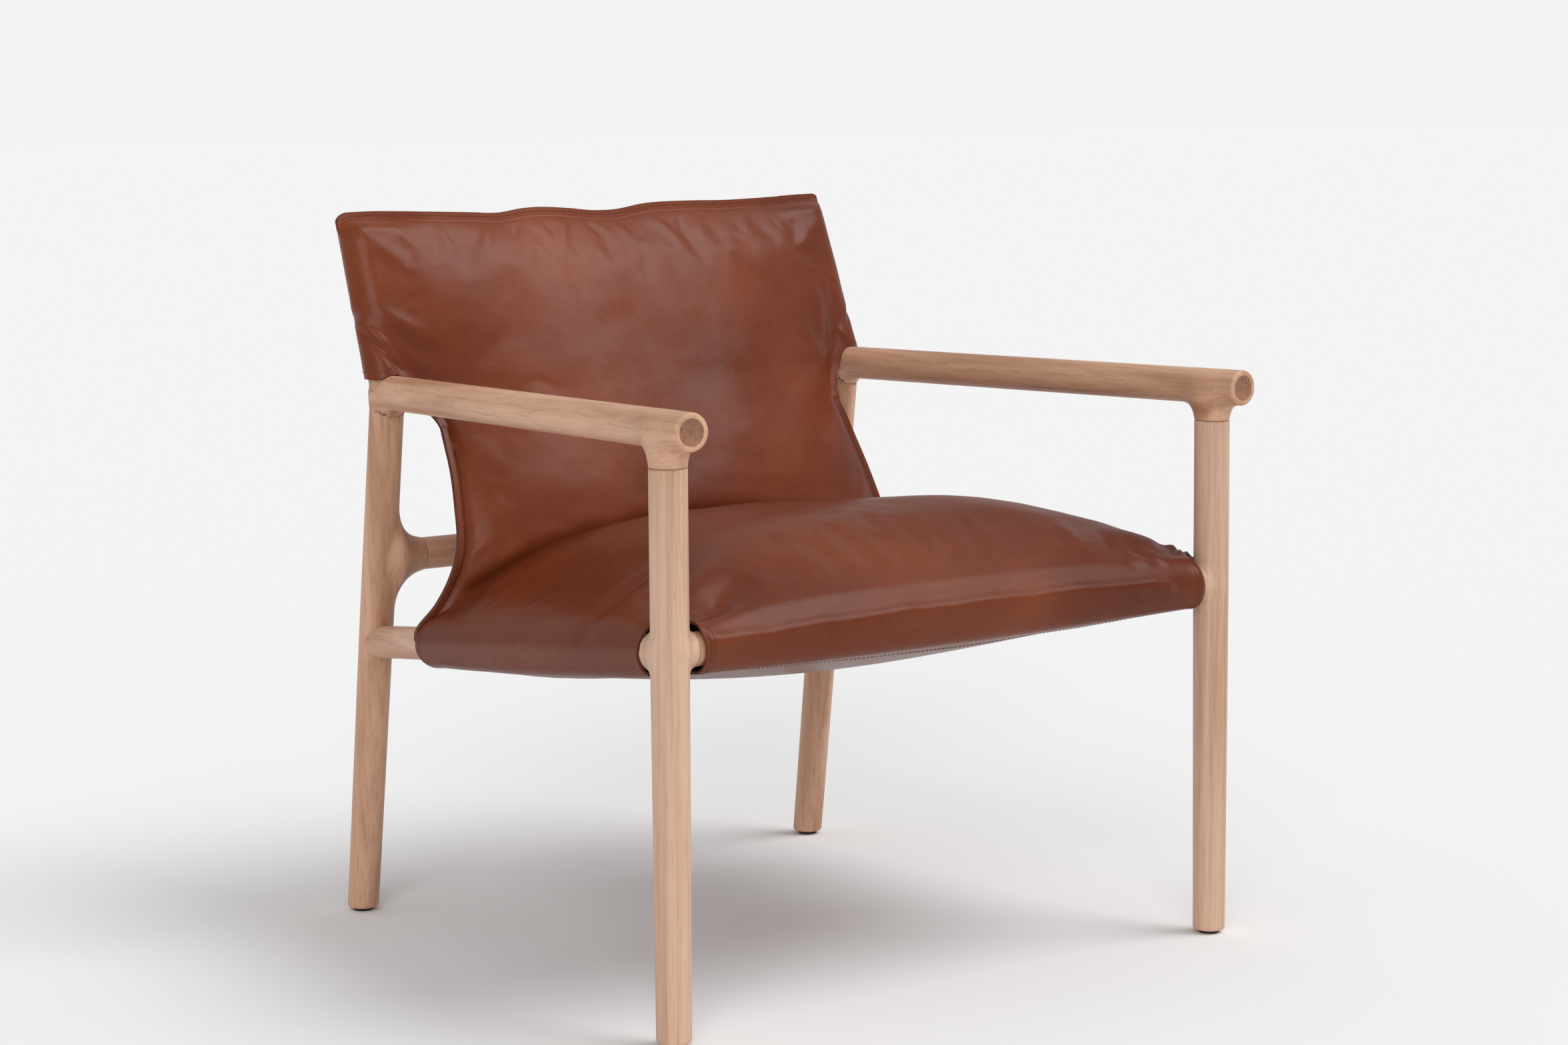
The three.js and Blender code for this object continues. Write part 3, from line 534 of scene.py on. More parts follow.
def build_timber():
    low, high = (270, -50, NECK_Z - 6), (372, 584, 600)
    timber_pair("arm", arm_field, low, high, 2.2, arm_timber)
    timber_pair("rear_leg", rear_leg_field, (246, 530, -4), (326, 664, 604), 2.4, rear_timber)
    low, high = (306, -26, -4), (364, 36, NECK_Z + 4)
    timber_pair("front_leg", front_leg_field, low, high, 2.2, leg_timber)
    rail_start = RAIL_FRONT + RAIL_WAY * (FRONT_BOSS_REACH + GAP)
    rail_end = RAIL_REAR - RAIL_WAY * 8
    post_start = HEAD + POST_WAY * (HEAD_LENGTH + GAP)
    post_end = POST_TOP - POST_WAY * 5
    for side, name in ((1, "left"), (-1, "right")):
        flip = np.array([side, 1, 1])
        ends = rail_start * flip, rail_end * flip
        round_bar(f"side_rail_{name}", *ends, SIDE_RAIL_R, SIDE_RAIL_R, rail_timber)
        ends = post_start * flip, post_end * flip
        round_bar(f"back_post_{name}", *ends, POST_R, POST_R - 1, rear_timber, 4)
    for node, half, y, z, radius in (
        ("front_rail", FRONT_HALF - FRONT_BOSS_REACH, 0, SIDE_RAIL_FRONT_Z, FRONT_RAIL_R),
        ("rear_cross_rail", REAR_HALF - CROSS_BOSS_REACH, CROSS_END[1], CROSS_RAIL_Z, CROSS_RAIL_R),
    ):
        reach = half - GAP
        round_bar(node, (-reach, y, z), (reach, y, z), radius, radius, cross_timber)
    for end in ("front", "rear"):
        for side in ("left", "right"):
            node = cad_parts[f"{end}_glide_{side}"]
            node.data.materials.clear()
            node.data.materials.append(glide_material)


build_timber()


# Sheets of hide


def spline(places, values, at):
    """A smooth curve through the given values, straight on past its ends."""
    places, values = np.asarray(places, float), np.asarray(values, float)
    slopes = np.gradient(values, places)
    at = np.asarray(at, float)
    inside = np.clip(at, places[0], places[-1])
    i = np.clip(np.searchsorted(places, inside) - 1, 0, len(places) - 2)
    span = places[i + 1] - places[i]
    t = (inside - places[i]) / span
    a, b = values[i], values[i + 1]
    curve = (2 * t**3 - 3 * t**2 + 1) * a + (3 * t**2 - 2 * t**3) * b
    curve += span * ((t**3 - 2 * t**2 + t) * slopes[i] + (t**3 - t**2) * slopes[i + 1])
    return curve + (at - inside) * np.where(at < places[0], slopes[0], slopes[-1])


def weld(patches):
    """Grids of points, each with a mask of its quads and a sense, as one mesh."""
    points, faces, start = [], [], 0
    for grid, keep, turned in patches:
        rows, columns = grid.shape[:2]
        index = start + np.arange(rows * columns).reshape(rows, columns)
        quads = np.stack([index[:-1, :-1], index[:-1, 1:], index[1:, 1:], index[1:, :-1]], -1)
        if keep is not None:
            quads = quads[keep]
        quads = quads.reshape(-1, 4)
        faces.append(quads[:, ::-1] if turned else quads)
        points.append(grid.reshape(-1, 3))
        start += rows * columns
    points, faces = np.concatenate(points), np.concatenate(faces)
    keys = np.round(points * 50 + 0.123).astype(np.int64)
    _, first, group = np.unique(keys, axis=0, return_index=True, return_inverse=True)
    faces = group.reshape(-1)[faces]
    used = np.unique(faces)
    renumber = -np.ones(len(first), int)
    renumber[used] = np.arange(len(used))
    kept = []
    for face in renumber[faces].tolist():
        ring = [v for k, v in enumerate(face) if v != face[k - 1]]
        if len(ring) > 2:
            kept.append(ring)
    return points[first][used], kept


def normals_of(points, faces):
    total = np.zeros_like(points)
    for sides in (3, 4):
        ring = np.array([f for f in faces if len(f) == sides])
        if not len(ring):
            continue
        a, b, c, last = (points[ring[:, k]] for k in (0, 1, 2, -1))
        normal = np.cross(b - a, c - a) if sides == 3 else np.cross(c - a, last - b)
        for k in range(sides):
            np.add.at(total, ring[:, k], normal)
    return total / np.maximum(np.linalg.norm(total, axis=1), 1e-9)[:, None]


def folded(points, normals, folds):
    """Points pushed out along their normals by ridges, or in by valleys, along straight lines.

    A fold is its two ends, how wide it is, and its height at the middle."""
    push = np.zeros(len(points))
    for start, end, width, height in folds:
        start, end = np.array(start, float), np.array(end, float)
        way = end - start
        t = np.clip((points - start) @ way / (way @ way), 0, 1)
        off = np.linalg.norm(points - start - t[:, None] * way, axis=1)
        taper = np.sin(np.pi * np.clip(0.04 + 0.92 * t, 0, 1)) ** 0.7
        push += height * taper * np.exp(-((off / width) ** 2))
    return points + push[:, None] * normals


def drawn_in(points, normals, lines):
    """Points pushed along their normals near whole lines, each with a width and a height."""
    push = np.zeros(len(points))
    for line, width, height in lines:
        line = np.asarray(line, float)
        places = np.linspace(0, len(line) - 1, 12 * len(line))
        dense = np.stack([np.interp(places, np.arange(len(line)), line[:, i]) for i in range(3)], -1)
        near = np.full(len(points), np.inf)
        for spot in dense:
            near = np.minimum(near, ((points - spot) ** 2).sum(-1))
        push += height * np.exp(-near / width**2)
    return points + push[:, None] * normals


def settled(points, faces, free, spare, most):
    """The hide after a cloth simulation over its filling, which presses on it from inside.

    free is the share of each point that may move, spare the share of extra hide that wrinkles up,
    and most the furthest that a point may go."""
    mesh = bpy.data.meshes.new("settling")
    mesh.from_pydata([tuple(p) for p in points * MM], [], [tuple(f) for f in faces])
    piece = bpy.data.objects.new("settling", mesh)
    scene = bpy.context.scene
    scene.collection.objects.link(piece)
    held = piece.vertex_groups.new(name="held")
    for k, share in enumerate(free):
        held.add([k], float(1 - share), "REPLACE")
    cloth = piece.modifiers.new("cloth", "CLOTH")
    for name, value in CLOTH.items():
        setattr(cloth.settings, name, value)
    cloth.settings.shrink_min = -spare
    cloth.settings.effector_weights.gravity = 0
    cloth.collision_settings.use_collision = False
    cloth.point_cache.frame_start = 1
    cloth.point_cache.frame_end = CLOTH_FRAMES
    for step in range(1, CLOTH_FRAMES + 1):
        scene.frame_set(step)
    solved = piece.evaluated_get(bpy.context.evaluated_depsgraph_get())
    found = np.empty(3 * len(points))
    solved.data.vertices.foreach_get("co", found)
    scene.frame_set(1)
    bpy.data.objects.remove(piece)
    bpy.data.meshes.remove(mesh)
    move = found.reshape(-1, 3) / MM - points
    reach = np.linalg.norm(move, axis=1)
    move *= (most * np.tanh(reach / most) / np.maximum(reach, 1e-6))[:, None]
    return points + move


def hide_piece(name, points, faces, material, calm, folds=(), lines=(), settle=None):
    """A sheet of hide, shaped, with its thickness inwards and its cut edges painted dark.

    settle says which share of each point takes part in the cloth simulation, and its limits."""
    normals = normals_of(points, faces)
    points = slack(points, normals, calm(points))
    points = folded(points, normals, folds)
    points = drawn_in(points, normals, lines)
    if settle:
        taking_part, spare, most = settle
        points = settled(points, faces, smooth(calm(points)) * taking_part(points), spare, most)
    normals = normals_of(points, faces)
    count = len(points)
    inner = points - HIDE * normals
    edges = {(ring[k - 1], v): True for ring in faces for k, v in enumerate(ring)}
    rims = [(b, a, a + count, b + count) for a, b in edges if (b, a) not in edges]
    inside = [[v + count for v in reversed(ring)] for ring in faces]
    everything = [*faces, *inside, *rims]
    piece = new_object(name, place(np.concatenate([points, inner])), everything, material)
    piece.data.materials.append(edge_material)
    marks = np.zeros(len(everything), np.int32)
    marks[len(faces) + len(inside) :] = 1
    piece.data.polygons.foreach_set("material_index", marks)
    piece.data.set_sharp_from_angle(angle=math.radians(60))
    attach(piece, "root")
    return piece


SIDE_OVER = SIDE_RAIL_R + SNUG + HIDE
NOSE_OVER = FRONT_RAIL_R + SNUG + HIDE
SLACK = 2.6


def rail_half(y):
    return mix(FRONT_HALF, RAIL_REAR[0], np.maximum(y, 0) / RAIL_REAR[1])


def rail_z(y):
    return mix(RAIL_FRONT[2], RAIL_REAR[2], np.maximum(y, 0) / RAIL_REAR[1])


def across_share(x, y):
    return np.minimum(np.abs(x) / (rail_half(y) + SIDE_OVER), 1)


def seat_lift(x, y):
    """How far the filling lifts the seat over a hide that lies straight on the rails."""
    share = np.clip(y / SEAT_END_Y, 0, 1)
    over = (1 - across_share(x, y) ** SEAT_CROWN_POWER) ** mix(SEAT_FRONT_POWER, SEAT_REAR_POWER, share)
    rise = 1 - (1 - np.clip((y + NOSE_OVER) / SEAT_RISE_REACH, 0, 1)) ** SEAT_RISE_POWER
    fall = SEAT_FALL * smooth((share - 0.8) / 0.2)
    return SEAT_CROWN * over * rise * (1 - fall)


def rounding(x, y):
    """The share of a rail's radius that a hide keeps at a place, as it wraps a rail."""
    past = np.maximum(0, np.abs(x) - rail_half(y)) / SIDE_OVER
    side = np.sqrt(np.maximum(0, 1 - past**2))
    nose = np.sqrt(np.maximum(0, 1 - (np.minimum(y, 0) / NOSE_OVER) ** 2))
    return side, nose


def seat_top(x, y):
    side, nose = rounding(x, y)
    over = mix(NOSE_OVER, SIDE_OVER, smooth(y / 60))
    return rail_z(y) + over * side * nose + seat_lift(x, y)


def seat_sag(x, y):
    share = np.clip(y / SEAT_END_Y, 0, 1)
    return SEAT_SAG * (1 - across_share(x, y) ** 2) * np.sin(np.pi * mix(0.05, 0.91, share))


def seat_under(x, y):
    side, nose = rounding(x, y)
    over = mix(NOSE_OVER, SIDE_OVER, smooth(y / 60)) + SLACK
    return rail_z(y) - nose * (over * side + seat_sag(x, y))


def notch_half(y):
    """Half the width of the seat's hide, which is cut away round the front legs."""
    inner = FRONT_HALF - np.sqrt(np.maximum(0, NOTCH_R**2 - np.clip(y, 0, NOTCH_R) ** 2))
    return np.minimum(inner, rail_half(y))


def seat_rows():
    turn = np.linspace(0, np.pi / 2, 16)[:-1]
    nose = -NOSE_OVER * np.cos(turn)
    legs = np.linspace(0, NOTCH_R, 15)[:-1]
    rest = np.linspace(NOTCH_R, SEAT_END_Y, 104)
    rows = np.concatenate([nose, legs, rest])
    rows[np.abs(rows - UNDER_INSET).argmin()] = UNDER_INSET
    return rows


def seat_columns(y):
    """Places across the seat at y. The seams of the underside run along two of the columns."""
    inner = np.linspace(-1, 1, 125)
    outer = np.linspace(0, 1, 9)[1:]
    half = notch_half(y)
    seam = np.minimum(rail_half(y) - UNDER_INSET, half * 0.97)
    middle = inner * seam
    side = seam + (half - seam) * outer
    return np.concatenate([-side[::-1], middle, side])


def seat_mesh():
    rows = seat_rows()
    x = np.stack([seat_columns(y) for y in rows])
    y = np.repeat(rows[:, None], x.shape[1], 1)
    top = spots(x, y, seat_top(x, y))
    under = spots(x, y, seat_under(x, y))
    under[0] = top[0]
    cell_y = (rows[:-1] + rows[1:]) / 2
    cell_x = np.arange(x.shape[1] - 1)
    inside = (cell_x >= 8) & (cell_x < x.shape[1] - 9)
    keep = ~((cell_y[:, None] > UNDER_INSET) & inside[None, :])
    patches = [(top, None, False), (under, keep, True)]
    sleeve = rows[rows >= NOTCH_R - 1e-6]
    turn = np.linspace(np.pi / 2, -np.pi / 2, 33)
    for side in (1, -1):
        wall = []
        for yy in sleeve:
            xs = side * (rail_half(yy) + SIDE_OVER * np.cos(turn))
            zs = np.where(turn >= 0, seat_top(xs, yy), seat_under(xs, yy))
            zs[16] = rail_z(yy)
            xs[0] = xs[-1] = side * rail_half(yy)
            zs[0], zs[-1] = seat_top(xs[0], yy), seat_under(xs[-1], yy)
            heel = 10 * np.maximum(0, -np.sin(turn)) ** 2
            heel = heel * smooth((yy - SEAT_END_Y + HEEL) / HEEL)
            wall.append(spots(xs, yy - heel, zs))
        patches.append((np.array(wall), None, side < 0))
    return weld(patches)


def under_mesh():
    """The underside's own hide. It laps inside the cover and turns up at the rear."""
    rows = np.linspace(UNDER_INSET - UNDER_LAP, SEAT_END_Y, 90)
    across = np.linspace(-1, 1, 101)
    half = rail_half(rows) - UNDER_INSET + UNDER_LAP
    x = across[None, :] * half[:, None]
    y = np.repeat(rows[:, None], len(across), 1)
    grid = spots(x, y, seat_under(x, y) + HIDE + 0.15)
    heel = []
    for turn in np.linspace(0, np.pi / 2, 9)[1:]:
        row = grid[-1].copy()
        row[:, 0] *= mix(1, 0.93, math.sin(turn))
        row[:, 1] += 33 * math.sin(turn)
        row[:, 2] += 36 * (1 - math.cos(turn))
        heel.append(row)
    return weld([(np.concatenate([grid, np.array(heel)]), None, True)])


# The back: z, half width and y of its free edge, from its foot to where it opens out over the arm
EDGE_Z = (284, 306, 325, 350, 400, 450, 500, 540, 552, 563, 572, 582)
EDGE_HALF = (300, 322, 325, 304, 281, 271, 264, 264, 270, 279, 285, 296)
EDGE_Y = (474, 472, 470, 466, 461, 478, 503.5, 529, 536, 541.7, 545.1, 548.9)
FLANGE = 9

# Half the width of the filling of the back
PAD_Z = (284, 306, 325, 350, 400, 450, 500, 540, 552, 563, 575, 590, 610, 635, 660, 700, 745)
PAD_HALF = (291, 313, 316, 295, 272, 262, 255, 255, 258, 263, 270, 280, 294, 309, 317, 318, 316.5)

# The profile of the filled middle of the back, front and rear
CENTRE_Z = (284, 306, 325, 350, 400, 450, 500, 540, 563, 582, 600, 650, 700, 745)
CENTRE_FRONT_Y = (470, 458, 449, 439, 426, 436, 459, 481, 493.5, 503.5, 513.5, 541, 570, 597)
CENTRE_REAR_Y = (480, 496, 500, 501, 504, 520, 543, 564, 576, 586, 595, 616, 634, 648)
GUSSET_Z = 520
GUSSET_INSET = 21.8
GUSSET_OPEN = 52
LAP = 34
SEWN = 1.05 * HIDE

# The hem along the top of the back: its waves, and how far it stands before the posts
HEM_X = (-317, -272, -215, -166, -130, -100, -85, -40, -10, 17, 62, 124, 170, 213, 270, 317)
HEM_RISE = (2, 3, 1.4, -0.5, -1.8, 2, 2.9, 0.8, -2.2, -2.2, 3.6, 5, 4.4, 5.2, 6.8, 8)
HEM_BAND = 9
HEM_BAND_AT_POSTS = 6.5
HEM_CORNER_LEFT, HEM_CORNER_RIGHT = 5, 14
HEM_OUT = POST_TOP_HALF + SLEEVE_R


def back_edge(z):
    return spline(EDGE_Z, EDGE_HALF, z), spline(EDGE_Z, EDGE_Y, z)


def post_at(z):
    t = (z - HEAD_Z) / (POST_TOP_Z - HEAD_Z)
    return mix(REAR_HALF, POST_TOP_HALF, t), mix(HEAD_Y, POST_TOP_Y, t)


def back_outline(z):
    """Where the filling starts at a height: its y there, and half its width."""
    _, edge_y = back_edge(np.minimum(z, SLEEVE_HEM_Z))
    _, post_y = post_at(z)
    return np.where(z > SLEEVE_HEM_Z, post_y - SLEEVE_R, edge_y), spline(PAD_Z, PAD_HALF, z)


def back_fullness(x, z):
    """How far the filling stands before its outline."""
    y, half = back_outline(z)
    s = np.minimum(np.abs(x) / half, 1)
    power = mix(0.64, 1.1, smooth((z - 520) / 130))
    return (y - spline(CENTRE_Z, CENTRE_FRONT_Y, z)) * (1 - s**BACK_POWER) ** power


def near_post(x):
    return smooth((np.abs(x) - 212) / 85)


def hem_top(x):
    """The top edge of the back, with its rounded corners."""
    radius = np.where(x > 0, HEM_CORNER_LEFT, HEM_CORNER_RIGHT)
    past = np.clip(np.abs(x) - (HEM_OUT - radius), 0, radius)
    return HEM_Z + spline(HEM_X, HEM_RISE, x) - radius + np.sqrt(radius**2 - past**2)


def hem_plane(x, z):
    """Where the front and rear hides meet in the hem."""
    forward = 16 + 6 * (1 - np.minimum(np.abs(x) / 260, 1) ** 2)
    return post_at(z)[1] - mix(forward, 0, near_post(x))


def openness(x, z):
    """The share of its depth that the back keeps as it closes towards the hem."""
    post = near_post(x)
    under = hem_top(x) - mix(HEM_BAND, HEM_BAND_AT_POSTS, post) - z
    middle = (1 - np.clip(1 - under / 46, 0, 1) ** 2) ** 0.7
    round_end = np.sqrt(1 - np.clip(1 - under / 12, 0, 1) ** 2)
    return mix(middle, round_end, post)


def back_front(x, z):
    """The front of the back, as far out as the axes of the posts."""
    y, _ = back_outline(z)
    seam = back_edge(np.minimum(z, SLEEVE_HEM_Z))[0] - FLANGE
    groove = 2.2 * np.exp(-(((np.abs(x) - seam) / 1.8) ** 2)) * smooth((GUSSET_Z + 20 - z) / 20)
    closed = hem_plane(x, z) - SEWN
    return mix(closed, y + groove - back_fullness(x, z), openness(x, z))


def back_rear(x, z):
    """The outside of the rear hide."""
    half, edge_y = back_edge(np.minimum(z, GUSSET_Z))
    post_half, post_y = post_at(z)
    centre = spline(CENTRE_Z, CENTRE_REAR_Y, z)
    s = np.minimum(np.abs(x) / (half - FLANGE), 1)
    base = edge_y + 2 * HIDE + 0.2
    low = mix(base, centre, 0.6 * smooth((1 - s) / 0.12) + 0.4 * (1 - s**2.4))
    s = np.minimum(np.abs(x) / post_half, 1)
    base = post_y + SLEEVE_R - 6 * smooth((post_half - np.abs(x)) / 45)
    high = mix(base, centre, 1 - s**2.4)
    open_y = mix(low, high, smooth((z - GUSSET_Z) / GUSSET_OPEN))
    closed = hem_plane(x, z) + SEWN
    return mix(closed, open_y, openness(x, z))


def upper_levels():
    return np.concatenate([
        np.linspace(SLEEVE_HEM_Z, 700, 40)[:-1],
        np.linspace(700, 726, 14)[:-1],
        np.linspace(726, HEM_Z, 26),
    ])


def at_level(x, level, hem=SLEEVE_HEM_Z):
    """A height between a sleeve's lower hem and the top edge over x."""
    return mix(hem, hem_top(x), (level - SLEEVE_HEM_Z) / (HEM_Z - SLEEVE_HEM_Z))


def sleeve_hem(angle):
    """The height of a sleeve's lower hem, which drops as it goes round the post."""
    return SLEEVE_HEM_Z - 5 * smooth((np.pi / 2 - angle) / (np.pi / 3))


def sleeve_column(level):
    """One turn of a sleeve: over the front of the post, round its outside and back to the lap."""
    post_half, _ = post_at(level)
    inner = mix(EDGE_HALF[-1], post_half - 4, smooth((level - SLEEVE_HEM_Z) / 20))
    turn = np.linspace(np.pi / 2, -np.pi / 2, 37)
    front_x = np.linspace(inner, post_half, 5)[:-1]
    around_x = post_half + SLEEVE_R * np.cos(turn)
    rear_x = np.linspace(post_half, post_half - LAP, 12)[1:]
    x = np.concatenate([front_x, around_x, rear_x])
    quarter = np.pi / 2
    flat_front, flat_rear = np.full(len(front_x), quarter), np.full(len(rear_x), -quarter)
    angle = np.concatenate([flat_front, turn, flat_rear])
    return x, angle, sleeve_hem(angle)


def sleeve_points(side, level):
    x, angle, low = sleeve_column(level)
    out = x * side
    z = at_level(out, level, low)
    _, post_y = post_at(z)
    share = openness(out, z)
    out += side * 3 * (1 - share) * smooth((x - post_at(level)[0]) / SLEEVE_R)
    plane = hem_plane(out, z)
    depth = mix(SEWN * np.clip(3 * np.sin(angle), -1, 1), SLEEVE_R * np.sin(angle), share)
    filled = back_fullness(out, z) * share * np.maximum(np.sin(angle), 0)
    turned = mix(plane, post_y, share) - depth - filled
    bent = np.abs(x) > post_at(level)[0] - 1e-6
    front, rear = back_front(out, z), back_rear(out, z)
    y = np.where(bent, turned, np.where(angle > 0, front, rear))
    return spots(out, y, z)


def back_front_mesh():
    low = np.linspace(BACK_FOOT_Z, SLEEVE_HEM_Z, 110)
    inner, flange = np.linspace(-1, 1, 131), np.linspace(0, 1, 9)[1:]
    rows = []
    for z in low:
        half, _ = back_edge(z)
        edge = half - FLANGE + FLANGE * flange
        x = np.concatenate([-edge[::-1], inner * (half - FLANGE), edge])
        rows.append(spots(x, back_front(x, np.full_like(x, z)), z))
    shares = rows[-1][:, 0] / rows[-1][-1, 0]
    patch, left, right = [], [], []
    for level in upper_levels():
        right.append(sleeve_points(1, level))
        left.append(sleeve_points(-1, level))
        x = shares * right[-1][0, 0]
        z = at_level(x, level)
        patch.append(spots(x, back_front(x, z), z))
    return weld([
        (np.array(rows), None, False),
        (np.array(patch), None, False),
        (np.array(right), None, False),
        (np.array(left), None, True),
    ])


def rear_reach(z):
    """Half the width of the rear hide, which runs inside the posts above the waist."""
    opened = smooth((z - GUSSET_Z) / GUSSET_OPEN)
    half, _ = back_edge(np.minimum(z, GUSSET_Z))
    return mix(half, post_at(z)[0] - GUSSET_INSET, opened)


def back_rear_mesh():
    lower = np.linspace(BACK_FOOT_Z, SLEEVE_HEM_Z, 100)[:-1]
    shares = np.linspace(-1, 1, 141)
    rows, right, left = [], [], []
    for level in np.concatenate([lower, upper_levels()]):
        opened = smooth((level - GUSSET_Z) / GUSSET_OPEN)
        x = shares * rear_reach(level)
        z = at_level(x, level) if level > SLEEVE_HEM_Z else np.full_like(x, level)
        y = back_rear(x, z)
        y -= (HIDE + 0.2) * opened * smooth((np.abs(shares) - 0.86) / 0.04)
        rows.append(spots(x, y, z))
        if level < GUSSET_Z:
            continue
        for side, wall in ((0, left), (-1, right)):
            start = rows[-1][side]
            front = back_front(start[0], start[2]) + HIDE + 0.3
            ys = np.linspace(start[1], min(front, start[1] - 0.2), 9)
            wall.append(spots(start[0], ys, start[2]))
    return weld([
        (np.array(rows), None, True),
        (np.array(right), None, True),
        (np.array(left), None, False),
    ])


# Folds, drawn on the surfaces as lines with a width and a height


def back_fold(x0, z0, x1, z1, width, height):
    return ((x0, back_front(x0, z0), z0), (x1, back_front(x1, z1), z1), width, height)


def seat_fold(x0, y0, x1, y1, width, height):
    return ((x0, y0, seat_top(x0, y0)), (x1, y1, seat_top(x1, y1)), width, height)


def back_folds():
    puckers = [
        (-262, 731, -246, 712, 7, 0.8), (-216, 733, -204, 708, 6, 1.0),
        (-149, 732, -166, 708, 7, 1.5), (-118, 731, -128, 714, 5, -1.1),
        (-92, 733, -80, 710, 6, 1.3), (-54, 734, -72, 708, 6, 1.5),
        (-26, 731, -8, 712, 5, -1.3), (6, 730, 22, 716, 5, 0.9), (63, 733, 84, 706, 7, 1.3),
        (98, 734, 92, 716, 5, -0.7), (130, 735, 108, 712, 7, 0.9), (196, 737, 176, 714, 8, 0.7),
    ]
    drawn = [
        (304, 728, 248, 694, 11, 2.0), (-300, 724, -262, 694, 9, 1.5),
        (-306, 735, -300, 722, 4, 1.6), (268, 576, 289, 644, 12, -3.4),
        (247, 588, 264, 660, 11, 1.8), (244, 592, 247, 552, 8, 1.8), (264, 648, 257, 596, 8, 1.7),
        (276, 666, 283, 622, 6, 1.3), (232, 650, 226, 590, 12, 1.2), (290, 606, 298, 588, 4, 1.4),
        (-304, 648, -250, 614, 9, 3.0), (-262, 612, -236, 590, 10, -1.6),
        (-288, 628, -262, 594, 6, -2.4), (-279, 391, -236, 424, 6, 1.8),
        (-237, 367, -171, 401, 8, 1.3), (-262, 420, -226, 452, 9, 1.0),
        (236, 372, 262, 398, 7, 1.6), (214, 392, 248, 436, 9, 1.2),
    ]
    folds = [back_fold(*f) for f in puckers + drawn]
    # Creases that run round the outside of the two sleeves
    rounds = [
        (-321, 584, 628, -305, 556, 602, 3.8, -3.2), (-305, 556, 602, -286, 549, 584, 4.0, -2.8),
        (-320, 586, 636, -300, 556, 610, 4.6, 2.4), (-321, 585, 643, -317, 606, 637, 5.0, -3.0),
        (-322, 586, 654, -318, 606, 650, 5.0, 1.2), (-322, 588, 672, -318, 606, 668, 6.0, -1.6),
        (-322, 600, 706, -318, 616, 702, 7.0, -1.2), (321, 586, 630, 306, 557, 606, 4.0, -2.4),
        (321, 592, 652, 318, 608, 646, 5.0, -2.0),
    ]
    return folds + [(f[:3], f[3:6], *f[6:]) for f in rounds]


def seat_folds():
    drawn = [
        (-344, 129, -256, 127, 15, -6.0), (-330, 100, -266, 88, 14, 2.2),
        (-318, 158, -250, 168, 16, 1.6),
        (-314, 4, -262, 20, 13, -7.0), (-286, 12, -222, 44, 17, -6.5), (-304, 40, -232, 76, 15, 2.2),
        (312, 30, 262, 62, 10, -3.0), (306, 56, 250, 92, 12, 1.6),
        (306, 24, 226, 46, 24, 7.0), (300, 26, 316, 29, 5, 5.0), (280, 20, 296, 30, 6, -2.6),
        (262, -6, 240, 16, 4, -1.3), (248, -9, 230, 12, 4, 1.1),
        (274, -8, 256, 14, 4, 1.0), (230, -10, 214, 6, 4, -0.8),
        (298, 10, 316, 20, 4, 3.4), (286, 4, 304, 22, 4, -3.0), (322, 20, 332, 27, 3.5, 3.0),
        (-296, 404, -236, 424, 12, 1.8), (236, 400, 292, 424, 12, 1.6), (-250, 440, -160, 452, 9, -1.5),
        (120, 452, 236, 446, 10, -1.4),
    ]
    return [seat_fold(*f) for f in drawn]


def crease_line():
    """Where the front of the back goes down behind the seat."""
    x = np.linspace(-266, 266, 41)
    z = np.full_like(x, 420.0)
    for _ in range(30):
        y = back_front(x, z)
        z = mix(z, seat_top(x, y), 0.5)
    return spots(x, y, z)


def nose_line():
    """The edge that the seat's hide bends over, at the front of the front rail."""
    x = np.linspace(-298, 262, 29)
    z = spline((-300, -117, 48, 223, 262), (372, 377, 377.5, 374.5, 372), x)
    return spots(x, -17.6, z + 0.8 * np.sin(x / 17) + 0.5 * np.sin(x / 7.3))


def mouth_line(side):
    """Round the front rail, a little inside the mouth of the seat's hide."""
    turn = np.linspace(np.pi * 0.55, np.pi * 1.45, 24)
    x = side * (FRONT_HALF - NOTCH_R - 5)
    return spots(x, NOSE_OVER * np.cos(turn), RAIL_FRONT[2] + NOSE_OVER * np.sin(turn))


def slack(points, normals, calm):
    """The unevenness that hide takes up over a soft filling, less where calm says so."""
    push = np.empty(len(points))
    for k, p in enumerate(points):
        broad = noise3(Vector((p[0], p[1], p[2])) / 105)
        small = noise3(Vector((p[0] + 300, p[1], p[2])) / 34)
        push[k] = 2.6 * broad + 0.5 * small
    return points + (push * calm)[:, None] * normals


def back_calm(points):
    """Full slack in the middle of the back, none at its hem, its sleeves' hems and its flanges."""
    x, z = np.abs(points[:, 0]), points[:, 2]
    half, _ = back_edge(np.minimum(z, SLEEVE_HEM_Z))
    flange = smooth((half - FLANGE - x) / 26)
    sleeve = mix(flange, 0.3, smooth((z - SLEEVE_HEM_Z) / 20) * smooth((x - 272) / 14))
    return sleeve * smooth((hem_top(points[:, 0]) - 12 - z) / 22)


def seat_calm(points):
    """Full slack over the filling, none where the hide is tight round the rails."""
    x, y = np.abs(points[:, 0]), points[:, 1]
    side = smooth((rail_half(y) + 2 - x) / 30)
    return np.maximum(0.12, side * smooth((y + 6) / 40)) * smooth((SEAT_END_Y - y) / 12)


def over_seat(points):
    """The share of the seat's hide that lies on the filling, above the side rails."""
    return smooth((points[:, 2] - rail_z(points[:, 1]) - 4) / 16)


def before_back(points):
    """The share of the back's front hide that lies before the posts."""
    return smooth((480 - points[:, 1] + 0.4 * (points[:, 2] - 450) + 60) / 30)


def under_calm(points):
    """A little slack all over."""
    return np.full(len(points), 0.1)


# Stitches

